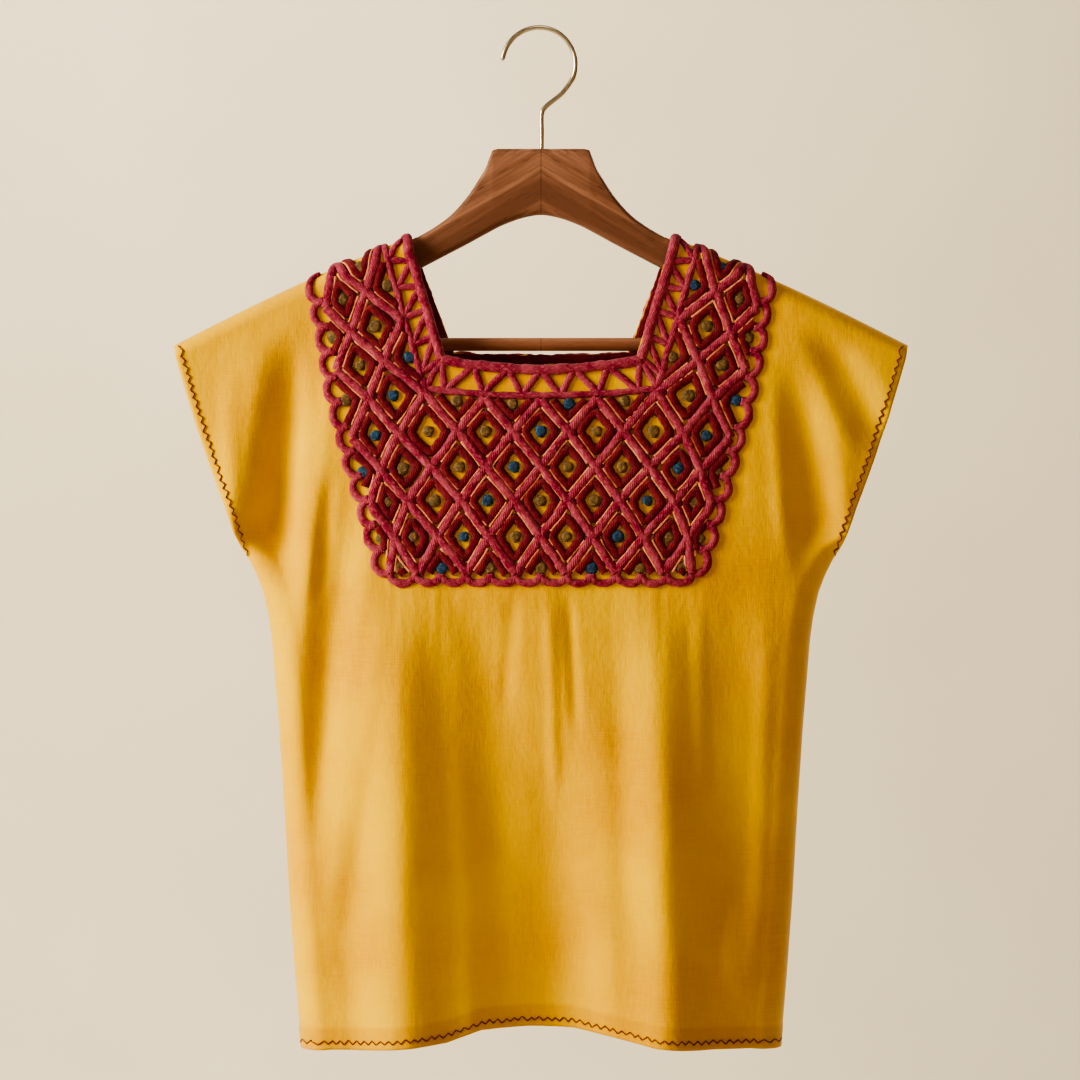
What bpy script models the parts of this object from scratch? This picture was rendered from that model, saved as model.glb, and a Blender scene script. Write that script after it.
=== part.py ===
"""Blouse with cap sleeves and a corded yoke, hanging on a wooden hanger.

Metres, +Z up, the front faces -Y. The origin is the underside of the hook's crest.
Sizes are written in millimetres and turned into metres as each mesh is made.
"""
import math

import bmesh
import bpy
from mathutils import Vector

MM = 0.001
FRONT, BACK = -1.0, 1.0

# Cloth
WALL = 2.0
SEAM_HALF_GAP = 0.15
SHOULDER_ROLL = 12.0
SIDE_ROLL = 20.0
UNDERARM_Z = -402.0
UNDERARM_X = 222.0
HEM_TURN_UP = 15.0
HEM_EXTRA = 0.8

# Neck opening, straight sides that lean out towards the shoulders
NECK_SHOULDER_X = 99.5
NECK_CORNER_X = {FRONT: 72.0, BACK: 66.5}
NECK_UNDER_X = 66.0
NECK_CORNER_Z = {FRONT: -248.5, BACK: -244.0}
NECK_SAG = {FRONT: 7.5, BACK: 2.0}

# Yoke and its cords
YOKE_TOP_HALF = 178.0
YOKE_TOP_Z = -210.0
YOKE_TAPER = 0.287
RAIL_TOP_X = 119.0
RAIL_CORNER = (87.5, -273.6)
RAIL_SAG = {FRONT: 5.5, BACK: 2.0}
CORD_REST = 1.15
CORD_CREST = 3.3
CORD_VALLEY = 2.1
PIECE_GAP = 0.3
# Steps down from the crest inside a cell: share of the way to its middle, height
LATTICE_RINGS = ((0.27, CORD_VALLEY), (0.52, 2.9))
BAND_RINGS = ((0.45, 1.7),)
SMALL_CELL = 10.0
SHOULDER_LEVELS = (4.0, 8.0, 12.0, 18.0)
CREASE_MERGE = 0.01
SHOULDER_PAD = 0.8
SHOULDER_PAD_REACH = 30.0
RAIL_GAP = 3.0
YOKE_SEAM_X = 174.0
BAND_INSET = 0.4
BAND_SIDE_PERIODS = 5
BAND_LOW_PERIODS = 6
SCALLOP_PITCH = 19.0
SCALLOP_CLEAR = 0.7
SCALLOP_ROOT = 2.4
SCALLOP_RISE_SIDE = 8.5
SCALLOP_RISE_LOW = 4.2
SCALLOP_ARC = 4

# Hanger
ARM_HALF_THICK = 6.5
ARM_EDGE_ROUND = 6.1
ARM_CLEAR = 0.75
BAR_RADIUS = 5.0
BAR_Z = -239.0
FOOT_X = 184.0
WIRE_RADIUS = 1.9
RING_RADIUS = 27.8
RING_CENTRE_X = -1.5
RING_START = -23.0
RING_END = 175.0
STEM_X = 0.6
# Bend between stem and ring: across, height
HOOK_BEND = ((0.6, -64.5), (1.8, -60.5), (5.0, -57.0), (9.8, -53.2), (15.0, -49.0), (19.6, -43.6))
# Upper outline of the body at its neck: across, height
HANGER_TOP = ((0.0, -90.4), (15.0, -90.4), (33.0, -90.4), (37.0, -91.6), (38.6, -95.5),
              (42.1, -104.9), (47.6, -114.0), (55.5, -126.2), (69.2, -141.4), (82.8, -151.2),
              (95.0, -158.2))
# Underside of the body and its arms: across, height
HANGER_LOW = ((0.0, -140.6), (10.6, -142.1), (28.6, -148.2), (41.8, -155.0), (55.5, -162.5),
              (73.3, -171.8), (89.2, -180.1), (184.0, -233.0), (184.5, -249.0), (205.0, -249.5),
              (212.0, -245.5), (217.0, -236.0))
TIP_START = 205.0
TIP_END = 217.0
TIP_DROP = 10.0
ARM_STATIONS = (110.0, 128.0, 147.0, 166.0, FOOT_X, FOOT_X + 0.5, 198.0, TIP_START, 212.2, TIP_END)
ARM_ROUND_SHARE = 0.45
BAR_SIDES = 16
RING_STEPS = 22
STEM_MIDDLE_Z = -76.0

# Shoulder seam, a straight line with a slight rise in its middle
SHOULDER_NECK_Z = -157.3
SHOULDER_TIP_X = 279.0
SHOULDER_TIP_Z = -239.8
SHOULDER_BOW = 3.0
CUFF_BOW = 3.0
# Outline from sleeve tip through underarm to hem: height, half width
OUTLINE = ((-235.0, 280.5), (-240.0, 279.0), (-259.0, 274.0), (-307.0, 258.0), (-335.0, 250.0),
           (-364.0, 240.5), (-390.0, 228.5), (-402.0, 222.0), (-414.0, 216.0), (-427.0, 211.0),
           (-445.0, 207.0), (-464.0, 204.4), (-530.0, 199.0), (-590.0, 195.0), (-660.0, 191.0),
           (-714.0, 187.0), (-775.0, 182.0))
# Half depth of the body at its centre: height, depth
BODY_DEPTH = ((-157.0, 14.0), (-200.0, 17.0), (-250.0, 24.0), (-330.0, 35.0), (-402.0, 43.0),
              (-500.0, 48.0), (-640.0, 54.0), (-775.0, 60.0))
EDGE_FLATTEN = 0.30
# Height of the hem below the body: across, height
HEM = ((-182.0, -771.5), (-160.0, -769.0), (-135.0, -768.5), (-96.0, -765.0), (-70.0, -762.0),
       (-45.0, -754.0), (-10.0, -752.5), (25.0, -753.8), (52.0, -758.6), (86.0, -765.4),
       (120.0, -768.0), (160.0, -768.5), (182.0, -771.0))

# Folds: across at top, across at bottom, top, bottom, half width, rise, share of rise at top
FOLDS = {
    FRONT: (
        (-114.0, -102.0, -422.0, -776.0, 44.0, 19.0, 0.20),
        (90.0, 97.0, -422.0, -776.0, 38.0, 18.0, 0.20),
        (-24.0, 0.0, -424.0, -776.0, 68.0, -25.0, 0.16),
        (-142.0, -174.0, -320.0, -600.0, 25.0, -10.0, 0.6),
        (148.0, 146.0, -405.0, -660.0, 26.0, -11.0, 0.6),
        (176.0, 170.0, -430.0, -700.0, 20.0, 4.0, 0.8),
        (-180.0, -205.0, -215.0, -425.0, 31.0, -13.0, 0.7),
        (188.0, 214.0, -245.0, -420.0, 27.0, -11.0, 0.6),
        (212.0, 250.0, -222.0, -308.0, 26.0, -7.0, 0.8),
    ),
    BACK: (
        (-60.0, -72.0, -366.0, -776.0, 40.0, 15.0, 0.15),
        (66.0, 70.0, -370.0, -776.0, 42.0, 16.0, 0.15),
        (4.0, 0.0, -368.0, -776.0, 58.0, -18.0, 0.10),
        (-150.0, -162.0, -380.0, -690.0, 24.0, -8.0, 0.5),
        (148.0, 160.0, -360.0, -720.0, 24.0, -8.0, 0.5),
        (-206.0, -216.0, -238.0, -390.0, 20.0, -7.0, 0.8),
        (203.0, 214.0, -236.0, -388.0, 20.0, -7.0, 0.8),
    ),
}
FOLD_FADE = 42.0
# A fold dies out past its lower end, unless it runs on to the hem
FOLD_RUN_OUT = 1.25
FOLD_SWELL = 3.2
FOLD_DIE = 3.0
FOLD_TO_HEM = -770.0
UNDERARM_BLEND = 40.0
LAY_STEP = 0.4

# Columns and rows of the panels
NECK_COLUMNS = 6
OUTER_COLUMNS = 7
ROLL_STEPS = 3
NECK_ROWS = 4
CHEST_ROWS = 6
BODY_ROWS = 9

# Lattice of the yoke: share of its half width at the rail and at its lowest row, a half cell apart
LATTICE_COLUMNS = ((0.0, 0.0), (0.134, 0.155), (0.268, 0.315), (0.402, 0.465), (0.550, 0.615),
                   (0.703, 0.765), (0.822, 0.875), (1.0, 1.0))
LATTICE_NECK = 4
LATTICE_ROWS = {
    FRONT: (-277.0, -306.0, -332.8, -358.2, -385.2, -412.6),
    BACK: (-277.0, -304.0, -330.0, -355.0),
}
LATTICE_FULL_ROWS = 5
LATTICE_LEAN = 6.0
BORDER_INSET = 7.0

COLOURS = {
    "cloth": ((0.74, 0.47, 0.11), 0.85, 0.0),
    "cord": ((0.38, 0.03, 0.09), 0.80, 0.0),
    "wood": ((0.16, 0.06, 0.025), 0.45, 0.0),
    "steel": ((0.62, 0.60, 0.56), 0.30, 1.0),
}


def between(rows, at):
    """Read a short table of pairs at one place, straight between its rows."""
    rising = rows[0][0] < rows[-1][0]
    for (x0, y0), (x1, y1) in zip(rows, rows[1:]):
        inside = at <= x1 if rising else at >= x1
        if inside:
            break
    return y0 + (y1 - y0) * (at - x0) / (x1 - x0)


def smooth(value):
    """Ease from 0 to 1."""
    value = min(max(value, 0.0), 1.0)
    return value * value * (3.0 - 2.0 * value)


def mix(low, high, share):
    return low + (high - low) * share


def seam_height(x):
    """Height of the shoulder seam at a distance from the centre."""
    share = (x - NECK_SHOULDER_X) / (SHOULDER_TIP_X - NECK_SHOULDER_X)
    bow = SHOULDER_BOW * math.sin(math.pi * share) if 0.0 < share < 1.0 else 0.0
    return mix(SHOULDER_NECK_Z, SHOULDER_TIP_Z, share) + bow


def roll(distance, radius):
    """Turn a flat distance from a seam into (distance seen, share of full depth)."""
    if distance >= radius:
        return distance, 1.0
    turn = distance / radius * math.pi / 2
    return radius * (1.0 - math.cos(turn)), math.sin(turn)


def folds(x, z, side):
    """Sum of the soft ridges and troughs at one place."""
    total = 0.0
    for x_top, x_low, z_top, z_low, half, rise, start in FOLDS[side]:
        along = (z_top - z) / (z_top - z_low)
        if along <= 0.0 or along > FOLD_RUN_OUT:
            continue
        middle = mix(x_top, x_low, along)
        across = abs(x - middle) / half
        if across >= 1.0:
            continue
        strength = mix(start, 1.0, smooth(along)) * smooth(along * FOLD_SWELL)
        if z_low > FOLD_TO_HEM:
            strength *= smooth((FOLD_RUN_OUT - along) * FOLD_DIE)
        total += rise * strength * 0.5 * (1.0 + math.cos(math.pi * across))
    return total


def surface(x, z, side):
    """Place of a flat point of the cloth on its outer face."""
    seam = seam_height(abs(x))
    drop, over = roll(seam - z, SHOULDER_ROLL)
    height = seam - drop
    half = between(OUTLINE, height)
    sign = 1.0 if x >= 0.0 else -1.0
    inward = half - abs(x)
    rise = max(height - UNDERARM_Z, 0.0)
    hidden, _ = roll(inward, SIDE_ROLL)
    near = max(0.0, 1.0 - rise / UNDERARM_BLEND)
    out = abs(x) + near * ((half - hidden) - abs(x))
    reach = math.hypot(max(inward, 0.0), rise) if rise > 0.0 else inward
    _, closed = roll(reach, SIDE_ROLL)
    depth = between(BODY_DEPTH, height) * (1.0 - EDGE_FLATTEN * (out / half) ** 2)
    fade = smooth((seam - height) / FOLD_FADE) * smooth(reach / FOLD_FADE)
    depth = depth * over * closed + folds(x, height, side) * fade
    return Vector((sign * out, side * (depth + SEAM_HALF_GAP), height))


def lay(x, z, lift, side):
    """A flat point laid on the cloth and lifted off it, held on its own side of the seams."""
    across = surface(x + LAY_STEP, z, side) - surface(x - LAY_STEP, z, side)
    down = surface(x, z - LAY_STEP, side) - surface(x, z + LAY_STEP, side)
    normal = across.cross(down).normalized() * side
    point = surface(x, z, side) + normal * lift
    if point.y * side < SEAM_HALF_GAP:
        point.y = SEAM_HALF_GAP * side
    return point


def neck_column(drop, side):
    """Half width of the neck's side column, by its share of the way down to the underarm."""
    corner = (NECK_CORNER_Z[side] - SHOULDER_NECK_Z) / (UNDERARM_Z - SHOULDER_NECK_Z)
    if drop <= corner:
        return mix(NECK_SHOULDER_X, NECK_CORNER_X[side], drop / corner)
    return mix(NECK_CORNER_X[side], NECK_UNDER_X, (drop - corner) / (1.0 - corner))


def panel_columns():
    """Columns of a panel from left to right: (sign, kind, share)."""
    half = [("neck", 2.0 * k / NECK_COLUMNS) for k in range(NECK_COLUMNS // 2)]
    half += [("outer", k / OUTER_COLUMNS) for k in range(OUTER_COLUMNS + 1)]
    half += [("roll", 1.0 - k / ROLL_STEPS) for k in range(1, ROLL_STEPS + 1)]
    return [(-1.0, *column) for column in reversed(half[1:])] + [(1.0, *column) for column in half]


def panel_rows():
    """Rows from the shoulder seam to the hem: (zone, share)."""
    rows = [("roll", k / ROLL_STEPS) for k in range(ROLL_STEPS)]
    rows += [("neck", k / NECK_ROWS) for k in range(NECK_ROWS)]
    rows += [("chest", k / CHEST_ROWS) for k in range(CHEST_ROWS)]
    rows += [("body", k / BODY_ROWS) for k in range(BODY_ROWS)]
    return rows + [("turn", 0.0), ("turn", 0.1), ("turn", 1.0)]


def column_x(kind, share, edge, inner):
    """Distance of a column from the centre, where the edge and the neck's column are known."""
    if kind == "neck":
        return inner * share
    if kind == "outer":
        return mix(inner, edge - SIDE_ROLL, share)
    return edge - SIDE_ROLL * share


def panel_point(column, row, side):
    """Flat point of the panel where a column and a row cross."""
    sign, kind, share = column
    zone, part = row
    seam = seam_height(max(column_x(kind, share, SHOULDER_TIP_X, NECK_SHOULDER_X), NECK_SHOULDER_X))
    start = seam - SHOULDER_ROLL
    neck_start = SHOULDER_NECK_Z - SHOULDER_ROLL
    neck_share = (NECK_CORNER_Z[side] - neck_start) / (UNDERARM_Z - neck_start)
    corner = mix(start, UNDERARM_Z, neck_share)
    if kind == "neck":
        corner = NECK_CORNER_Z[side] - NECK_SAG[side] * (1.0 - share ** 2)
    under = sign * column_x(kind, share, UNDERARM_X, NECK_UNDER_X)
    hem = between(HEM, under * OUTLINE[-1][1] / UNDERARM_X)
    levels = {"roll": (seam, start), "neck": (start, corner), "chest": (corner, UNDERARM_Z),
              "body": (UNDERARM_Z, hem + HEM_TURN_UP), "turn": (hem + HEM_TURN_UP, hem)}
    z = mix(*levels[zone], part)
    if z < UNDERARM_Z:
        edge = between(OUTLINE, z)
        return sign * column_x(kind, share, edge, NECK_UNDER_X * edge / UNDERARM_X), z
    drop = (z - seam) / (UNDERARM_Z - seam)
    edge = mix(SHOULDER_TIP_X, UNDERARM_X, drop) + CUFF_BOW * math.sin(math.pi * drop)
    return sign * column_x(kind, share, edge, neck_column(drop, side)), z


def material(slot):
    """One shader for each finish."""
    if slot in bpy.data.materials:
        return bpy.data.materials[slot]
    colour, roughness, metallic = COLOURS[slot]
    made = bpy.data.materials.new(slot)
    made.use_nodes = True
    shader = made.node_tree.nodes["Principled BSDF"]
    shader.inputs["Base Color"].default_value = (*colour, 1.0)
    shader.inputs["Roughness"].default_value = roughness
    shader.inputs["Metallic"].default_value = metallic
    return made


def finish(name, mesh, slot, collection):
    """Put a mesh in the collection as one named piece."""
    made = bpy.data.objects.new(name, mesh)
    mesh.materials.append(material(slot))
    collection.objects.link(made)
    return made


def build_mesh(name, bm):
    """Turn finished geometry in millimetres into a mesh in metres."""
    bmesh.ops.scale(bm, vec=(MM, MM, MM), verts=bm.verts)
    bmesh.ops.recalc_face_normals(bm, faces=bm.faces)
    bmesh.ops.triangulate(bm, faces=bm.faces)
    mesh = bpy.data.meshes.new(name)
    bm.to_mesh(mesh)
    bm.free()
    return mesh


def close_rim(bm, lower):
    """Join each open edge of an outer face to the same edge of its inner copy."""
    rim = [edge for edge in bm.edges if len(edge.link_faces) == 1 and edge.verts[0] in lower]
    for edge in rim:
        start, end = edge.verts
        bm.faces.new((start, end, lower[end], lower[start]))


def make_panel(name, side, collection):
    """Front or back, cut in one with its sleeves: an outer face, an inner face and their rim."""
    columns = panel_columns()
    rows = panel_rows()
    neck_end = ROLL_STEPS + NECK_ROWS
    bm = bmesh.new()
    outer, lower = {}, {}
    for c, column in enumerate(columns):
        for r, row in enumerate(rows):
            if column[1] == "neck" and r < neck_end:
                continue
            x, z = panel_point(column, row, side)
            extra = HEM_EXTRA if row[0] == "turn" and row[1] > 0.0 else 0.0
            outer[c, r] = bm.verts.new(lay(x, z, extra, side))
            lower[outer[c, r]] = bm.verts.new(lay(x, z, -WALL, side))
    for c in range(len(columns) - 1):
        for r in range(len(rows) - 1):
            corners = [outer.get(key) for key in ((c, r), (c + 1, r), (c + 1, r + 1), (c, r + 1))]
            if None in corners:
                continue
            bm.faces.new(corners)
            bm.faces.new([lower[corner] for corner in reversed(corners)])
    close_rim(bm, lower)
    return finish(name, build_mesh(name, bm), "cloth", collection)


def cell_middle(points):
    """Middle of a cell's rim and the radius of the circle that fits inside it."""
    length = total_x = total_z = area = 0.0
    for (x0, z0), (x1, z1) in zip(points, points[1:] + points[:1]):
        edge = math.hypot(x1 - x0, z1 - z0)
        length += edge
        total_x += edge * (x0 + x1) / 2
        total_z += edge * (z0 + z1) / 2
        area += (x0 * z1 - x1 * z0) / 2
    return (total_x / length, total_z / length), 2.0 * abs(area) / length


def make_net(name, side, cells, rings, slot, collection):
    """Raised cords between cells: crests on the cell edges, stepping down inside each cell.

    A cell with rings stays open in its middle, and one without is closed by a low dome.
    The net is made flat, as (across, height above the shoulder seam, lift), creased where it
    bends over the shoulder, and then laid on the cloth.
    """
    bm = bmesh.new()
    crest, lower = {}, {}

    def place(x, z, lift):
        return bm.verts.new((x, z - seam_height(abs(x)), lift))

    def corner(point):
        key = (round(point[0], 3), round(point[1], 3))
        if key not in crest:
            crest[key] = place(*point, CORD_CREST)
            lower[crest[key]] = place(*point, CORD_REST)
        return crest[key]

    def ring_of(points, middle, share, lift):
        return [place(mix(x, middle[0], share), mix(z, middle[1], share), lift) for x, z in points]

    def join(first, second):
        count = len(first)
        for k in range(count):
            after = (k + 1) % count
            bm.faces.new((first[k], first[after], second[after], second[k]))

    for points in cells:
        middle, radius = cell_middle(points)
        upper = [corner(point) for point in points]
        foot = [lower[vert] for vert in upper]
        if not rings:
            top = place(*middle, CORD_CREST)
            bottom = place(*middle, CORD_REST)
            for k in range(len(upper)):
                after = (k + 1) % len(upper)
                bm.faces.new((upper[k], upper[after], top))
                bm.faces.new((foot[after], foot[k], bottom))
            continue
        steps = rings if radius > SMALL_CELL else rings[-1:]
        for share, lift in steps:
            inner = ring_of(points, middle, share, lift)
            join(upper, inner)
            upper = inner
        floor = ring_of(points, middle, steps[-1][0], CORD_REST)
        join(upper, floor)
        join(floor, foot)
    close_rim(bm, lower)
    for level in SHOULDER_LEVELS:
        bmesh.ops.bisect_plane(bm, geom=bm.verts[:] + bm.edges[:] + bm.faces[:], dist=CREASE_MERGE,
                               plane_co=(0.0, -level, 0.0), plane_no=(0.0, 1.0, 0.0))
    for vert in bm.verts:
        x, below, lift = vert.co
        pad = SHOULDER_PAD * smooth(1.0 + below / SHOULDER_PAD_REACH)
        vert.co = lay(x, below + seam_height(abs(x)), lift + pad, side)
    return finish(name, build_mesh(name, bm), slot, collection)


def yoke_half(z):
    """Half width of the lattice at a height."""
    return min(YOKE_TOP_HALF, YOKE_TOP_HALF + YOKE_TAPER * (z - YOKE_TOP_Z))


def lattice_point(a, b, side):
    """Flat point of the lattice: a half cells across, b half cells down from the shoulder."""
    rows = LATTICE_ROWS[side]
    reach = abs(a)
    sign = 1.0 if a >= 0 else -1.0
    last = len(LATTICE_COLUMNS) - 1
    outward = max(0.0, (reach - LATTICE_NECK) / (last - LATTICE_NECK))
    row = max(b, LATTICE_NECK) - LATTICE_NECK
    z = rows[row] - LATTICE_LEAN * outward * (1.0 - row / (len(rows) - 1))
    if row == 0 and reach < LATTICE_NECK:
        z -= RAIL_SAG[side] * (1.0 - (reach / LATTICE_NECK) ** 2)
    x = yoke_half(z) * mix(*LATTICE_COLUMNS[reach], row / LATTICE_FULL_ROWS)
    if b < LATTICE_NECK:
        share = b / LATTICE_NECK
        top_x = mix(RAIL_TOP_X + RAIL_GAP, YOKE_SEAM_X, outward)
        x = mix(top_x, x, share)
        z = mix(seam_height(top_x), z, share)
    if reach == last:
        x -= BORDER_INSET
    return sign * x, z


def lattice_cells(side):
    """Diamonds of the yoke, cut to triangles where they meet its straight edges."""
    last_a = len(LATTICE_COLUMNS) - 1
    last_b = LATTICE_NECK + len(LATTICE_ROWS[side]) - 1

    def on_yoke(a, b):
        return abs(a) <= last_a and 0 <= b <= last_b and not (abs(a) < LATTICE_NECK and b < LATTICE_NECK)

    cells = []
    for b in range(last_b + 1):
        for a in range(-last_a, last_a + 1):
            if (a + b) % 2 == 0 or not on_yoke(a, b):
                continue
            corners = [key for key in ((a - 1, b), (a, b + 1), (a + 1, b), (a, b - 1)) if on_yoke(*key)]
            if len(corners) == 2:
                corners.append((a, b))
            cells.append([lattice_point(*key, side) for key in corners])
    return cells


def scallop_cells(side):
    """Small round scallops along the lattice's outer edge, from shoulder to shoulder."""
    last_a = len(LATTICE_COLUMNS) - 1
    last_b = LATTICE_NECK + len(LATTICE_ROWS[side]) - 1
    down = [lattice_point(-last_a, b, side) for b in (*range(0, last_b, 2), last_b)]
    under = [lattice_point(a, last_b, side) for a in range(-last_a, last_a + 1, 2)]
    up = [(-x, z) for x, z in reversed(down)]
    roots, rises = [], []
    for run, rise in ((down, SCALLOP_RISE_SIDE), (under, SCALLOP_RISE_LOW), (up, SCALLOP_RISE_SIDE)):
        lengths = [math.dist(p, q) for p, q in zip(run, run[1:])]
        count = round(sum(lengths) / SCALLOP_PITCH)
        for k in range(count + (run is up)):
            along = sum(lengths) * k / count
            piece = 0
            while piece < len(lengths) - 1 and along > lengths[piece]:
                along -= lengths[piece]
                piece += 1
            share = along / lengths[piece]
            roots.append(tuple(mix(p, q, share) for p, q in zip(run[piece], run[piece + 1])))
            rises.append(rise)
    outward = []
    for k, point in enumerate(roots):
        before, after = roots[max(k - 1, 0)], roots[min(k + 1, len(roots) - 1)]
        way = Vector((before[1] - after[1], after[0] - before[0])).normalized()
        outward.append(-way)
    edge = []
    for k, (point, way) in enumerate(zip(roots, outward)):
        inner = Vector(point) + way * SCALLOP_CLEAR
        outer = Vector(point) + way * (SCALLOP_CLEAR + SCALLOP_ROOT)
        if k in (0, len(roots) - 1):
            inner.y = seam_height(abs(inner.x))
            outer.y = seam_height(abs(outer.x))
        edge.append((tuple(inner), tuple(outer)))
    cells = []
    for k in range(len(edge) - 1):
        (inner0, outer0), (inner1, outer1) = edge[k], edge[k + 1]
        way = (outward[k] + outward[k + 1]).normalized()
        arc = []
        for j in range(1, SCALLOP_ARC):
            share = j / SCALLOP_ARC
            rise = rises[k] * math.sin(math.pi * share)
            arc.append((mix(outer1[0], outer0[0], share) + way.x * rise,
                        mix(outer1[1], outer0[1], share) + way.y * rise))
        cells.append([inner0, inner1, outer1, *arc, outer0])
    return cells


def zigzag(inner, outer, periods):
    """Triangles between two lines, as a zigzag cord divides them."""
    peaks = [inner(k / periods) for k in range(periods + 1)]
    feet = [outer(0.0)] + [outer((k + 0.5) / periods) for k in range(periods)] + [outer(1.0)]
    cells = []
    for k in range(periods):
        cells.append([feet[k], peaks[k], feet[k + 1]])
        cells.append([peaks[k], peaks[k + 1], feet[k + 1]])
    cells.append([feet[periods], peaks[periods], feet[periods + 1]])
    return cells


def band_cells(side):
    """Neck band: down the left side, along the bottom and up the right side."""
    neck_x = NECK_SHOULDER_X + BAND_INSET
    corner_x = NECK_CORNER_X[side] + BAND_INSET

    def line(start, end, sag):
        def at(share):
            x, z = mix(start[0], end[0], share), mix(start[1], end[1], share)
            return x, z - sag * (1.0 - (2.0 * share - 1.0) ** 2)
        return at

    inner_top = (-neck_x, seam_height(neck_x))
    inner_low = (-corner_x, NECK_CORNER_Z[side] - BAND_INSET)
    outer_top = (-RAIL_TOP_X, seam_height(RAIL_TOP_X))
    outer_low = (-RAIL_CORNER[0], RAIL_CORNER[1])

    def opposite(point):
        return -point[0], point[1]

    cells = zigzag(line(inner_top, inner_low, 0.0), line(outer_top, outer_low, 0.0), BAND_SIDE_PERIODS)
    right = [[opposite(point) for point in reversed(cell)] for cell in cells]
    cells += zigzag(line(inner_low, opposite(inner_low), NECK_SAG[side]),
                    line(outer_low, opposite(outer_low), RAIL_SAG[side]), BAND_LOW_PERIODS)
    return cells + right


def arm_top(x):
    """Upper outline of the hanger: photo's outline at its neck, then just under the cloth."""
    if x < HANGER_TOP[-1][0]:
        return between(HANGER_TOP, x)
    tip = max(0.0, (x - TIP_START) / (TIP_END - TIP_START))
    return seam_height(x) - WALL - ARM_CLEAR - TIP_DROP * tip * tip


def make_hanger_body(collection):
    """Wooden body with both arms, a loft of rounded sections from tip to tip."""
    half = [x for x, _ in HANGER_TOP] + list(ARM_STATIONS)
    stations = [-x for x in reversed(half[1:])] + half
    bm = bmesh.new()
    sections = []
    for x in stations:
        reach = abs(x)
        top, low = arm_top(reach), between(HANGER_LOW, reach)
        radius = min(ARM_EDGE_ROUND, (top - low) * ARM_ROUND_SHARE)
        ring = []
        for quarter in range(4):
            side_y = 1.0 if quarter in (0, 3) else -1.0
            side_z = 1.0 if quarter < 2 else -1.0
            middle_y = side_y * (ARM_HALF_THICK - radius)
            middle_z = (top - radius) if side_z > 0 else (low + radius)
            for k in range(3):
                turn = math.pi / 2 * quarter + math.pi / 4 * k
                ring.append(bm.verts.new((x, middle_y + radius * math.cos(turn),
                                          middle_z + radius * math.sin(turn))))
        sections.append(ring)
    for first, second in zip(sections, sections[1:]):
        count = len(first)
        for k in range(count):
            after = (k + 1) % count
            bm.faces.new((first[k], first[after], second[after], second[k]))
    bm.faces.new(sections[0])
    bm.faces.new(sections[-1])
    return finish("hanger_body", build_mesh("hanger_body", bm), "wood", collection)


def make_hanger_bar(collection):
    """Round wooden bar between the feet of the arms."""
    bpy.ops.mesh.primitive_cylinder_add(
        vertices=BAR_SIDES, radius=BAR_RADIUS * MM, depth=2.0 * (FOOT_X - PIECE_GAP) * MM,
        location=(0.0, 0.0, BAR_Z * MM), rotation=(0.0, math.pi / 2, 0.0))
    bar = bpy.context.object
    bar.name = "hanger_bar"
    bar.data.name = "hanger_bar"
    bar.data.materials.append(material("wood"))
    for owner in list(bar.users_collection):
        owner.objects.unlink(bar)
    collection.objects.link(bar)
    return bar


def make_hanger_hook(collection):
    """Steel wire: a stem, an S bend and the open ring that hangs on a rail."""
    centre_z = WIRE_RADIUS - RING_RADIUS
    points = [(STEM_X, HANGER_TOP[0][1] + PIECE_GAP), (STEM_X, STEM_MIDDLE_Z), *HOOK_BEND]
    for k in range(RING_STEPS + 1):
        turn = math.radians(mix(RING_START, RING_END, k / RING_STEPS))
        points.append((RING_CENTRE_X + RING_RADIUS * math.cos(turn),
                       centre_z + RING_RADIUS * math.sin(turn)))
    curve = bpy.data.curves.new("hanger_hook", "CURVE")
    curve.dimensions = "3D"
    curve.bevel_depth = WIRE_RADIUS * MM
    curve.bevel_resolution = 2
    curve.use_fill_caps = True
    spline = curve.splines.new("POLY")
    spline.points.add(len(points) - 1)
    for place, (x, z) in zip(spline.points, points):
        place.co = (x * MM, 0.0, z * MM, 1.0)
    curve.materials.append(material("steel"))
    hook = bpy.data.objects.new("hanger_hook", curve)
    collection.objects.link(hook)
    return hook


def main():
    for old in list(bpy.data.objects):
        bpy.data.objects.remove(old, do_unlink=True)
    collection = bpy.data.collections.new("blouse_on_hanger")
    bpy.context.scene.collection.children.link(collection)
    for label, side in (("front", FRONT), ("back", BACK)):
        make_panel(f"{label}_panel", side, collection)
        make_net(f"yoke_lattice_{label}", side, lattice_cells(side), LATTICE_RINGS, "cord", collection)
        make_net(f"scallop_edge_{label}", side, scallop_cells(side), (), "cord", collection)
        make_net(f"neck_band_{label}", side, band_cells(side), BAND_RINGS, "cord", collection)
    make_hanger_body(collection)
    make_hanger_bar(collection)
    make_hanger_hook(collection)


main()
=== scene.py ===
"""Blouse with a corded yoke on a wooden hanger: cloth, cords, knots, stitches, hanger and studio."""
import math
import random

import bmesh
import bpy
from bpy.props import FloatProperty, FloatVectorProperty, PointerProperty
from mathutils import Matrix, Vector, noise


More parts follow.
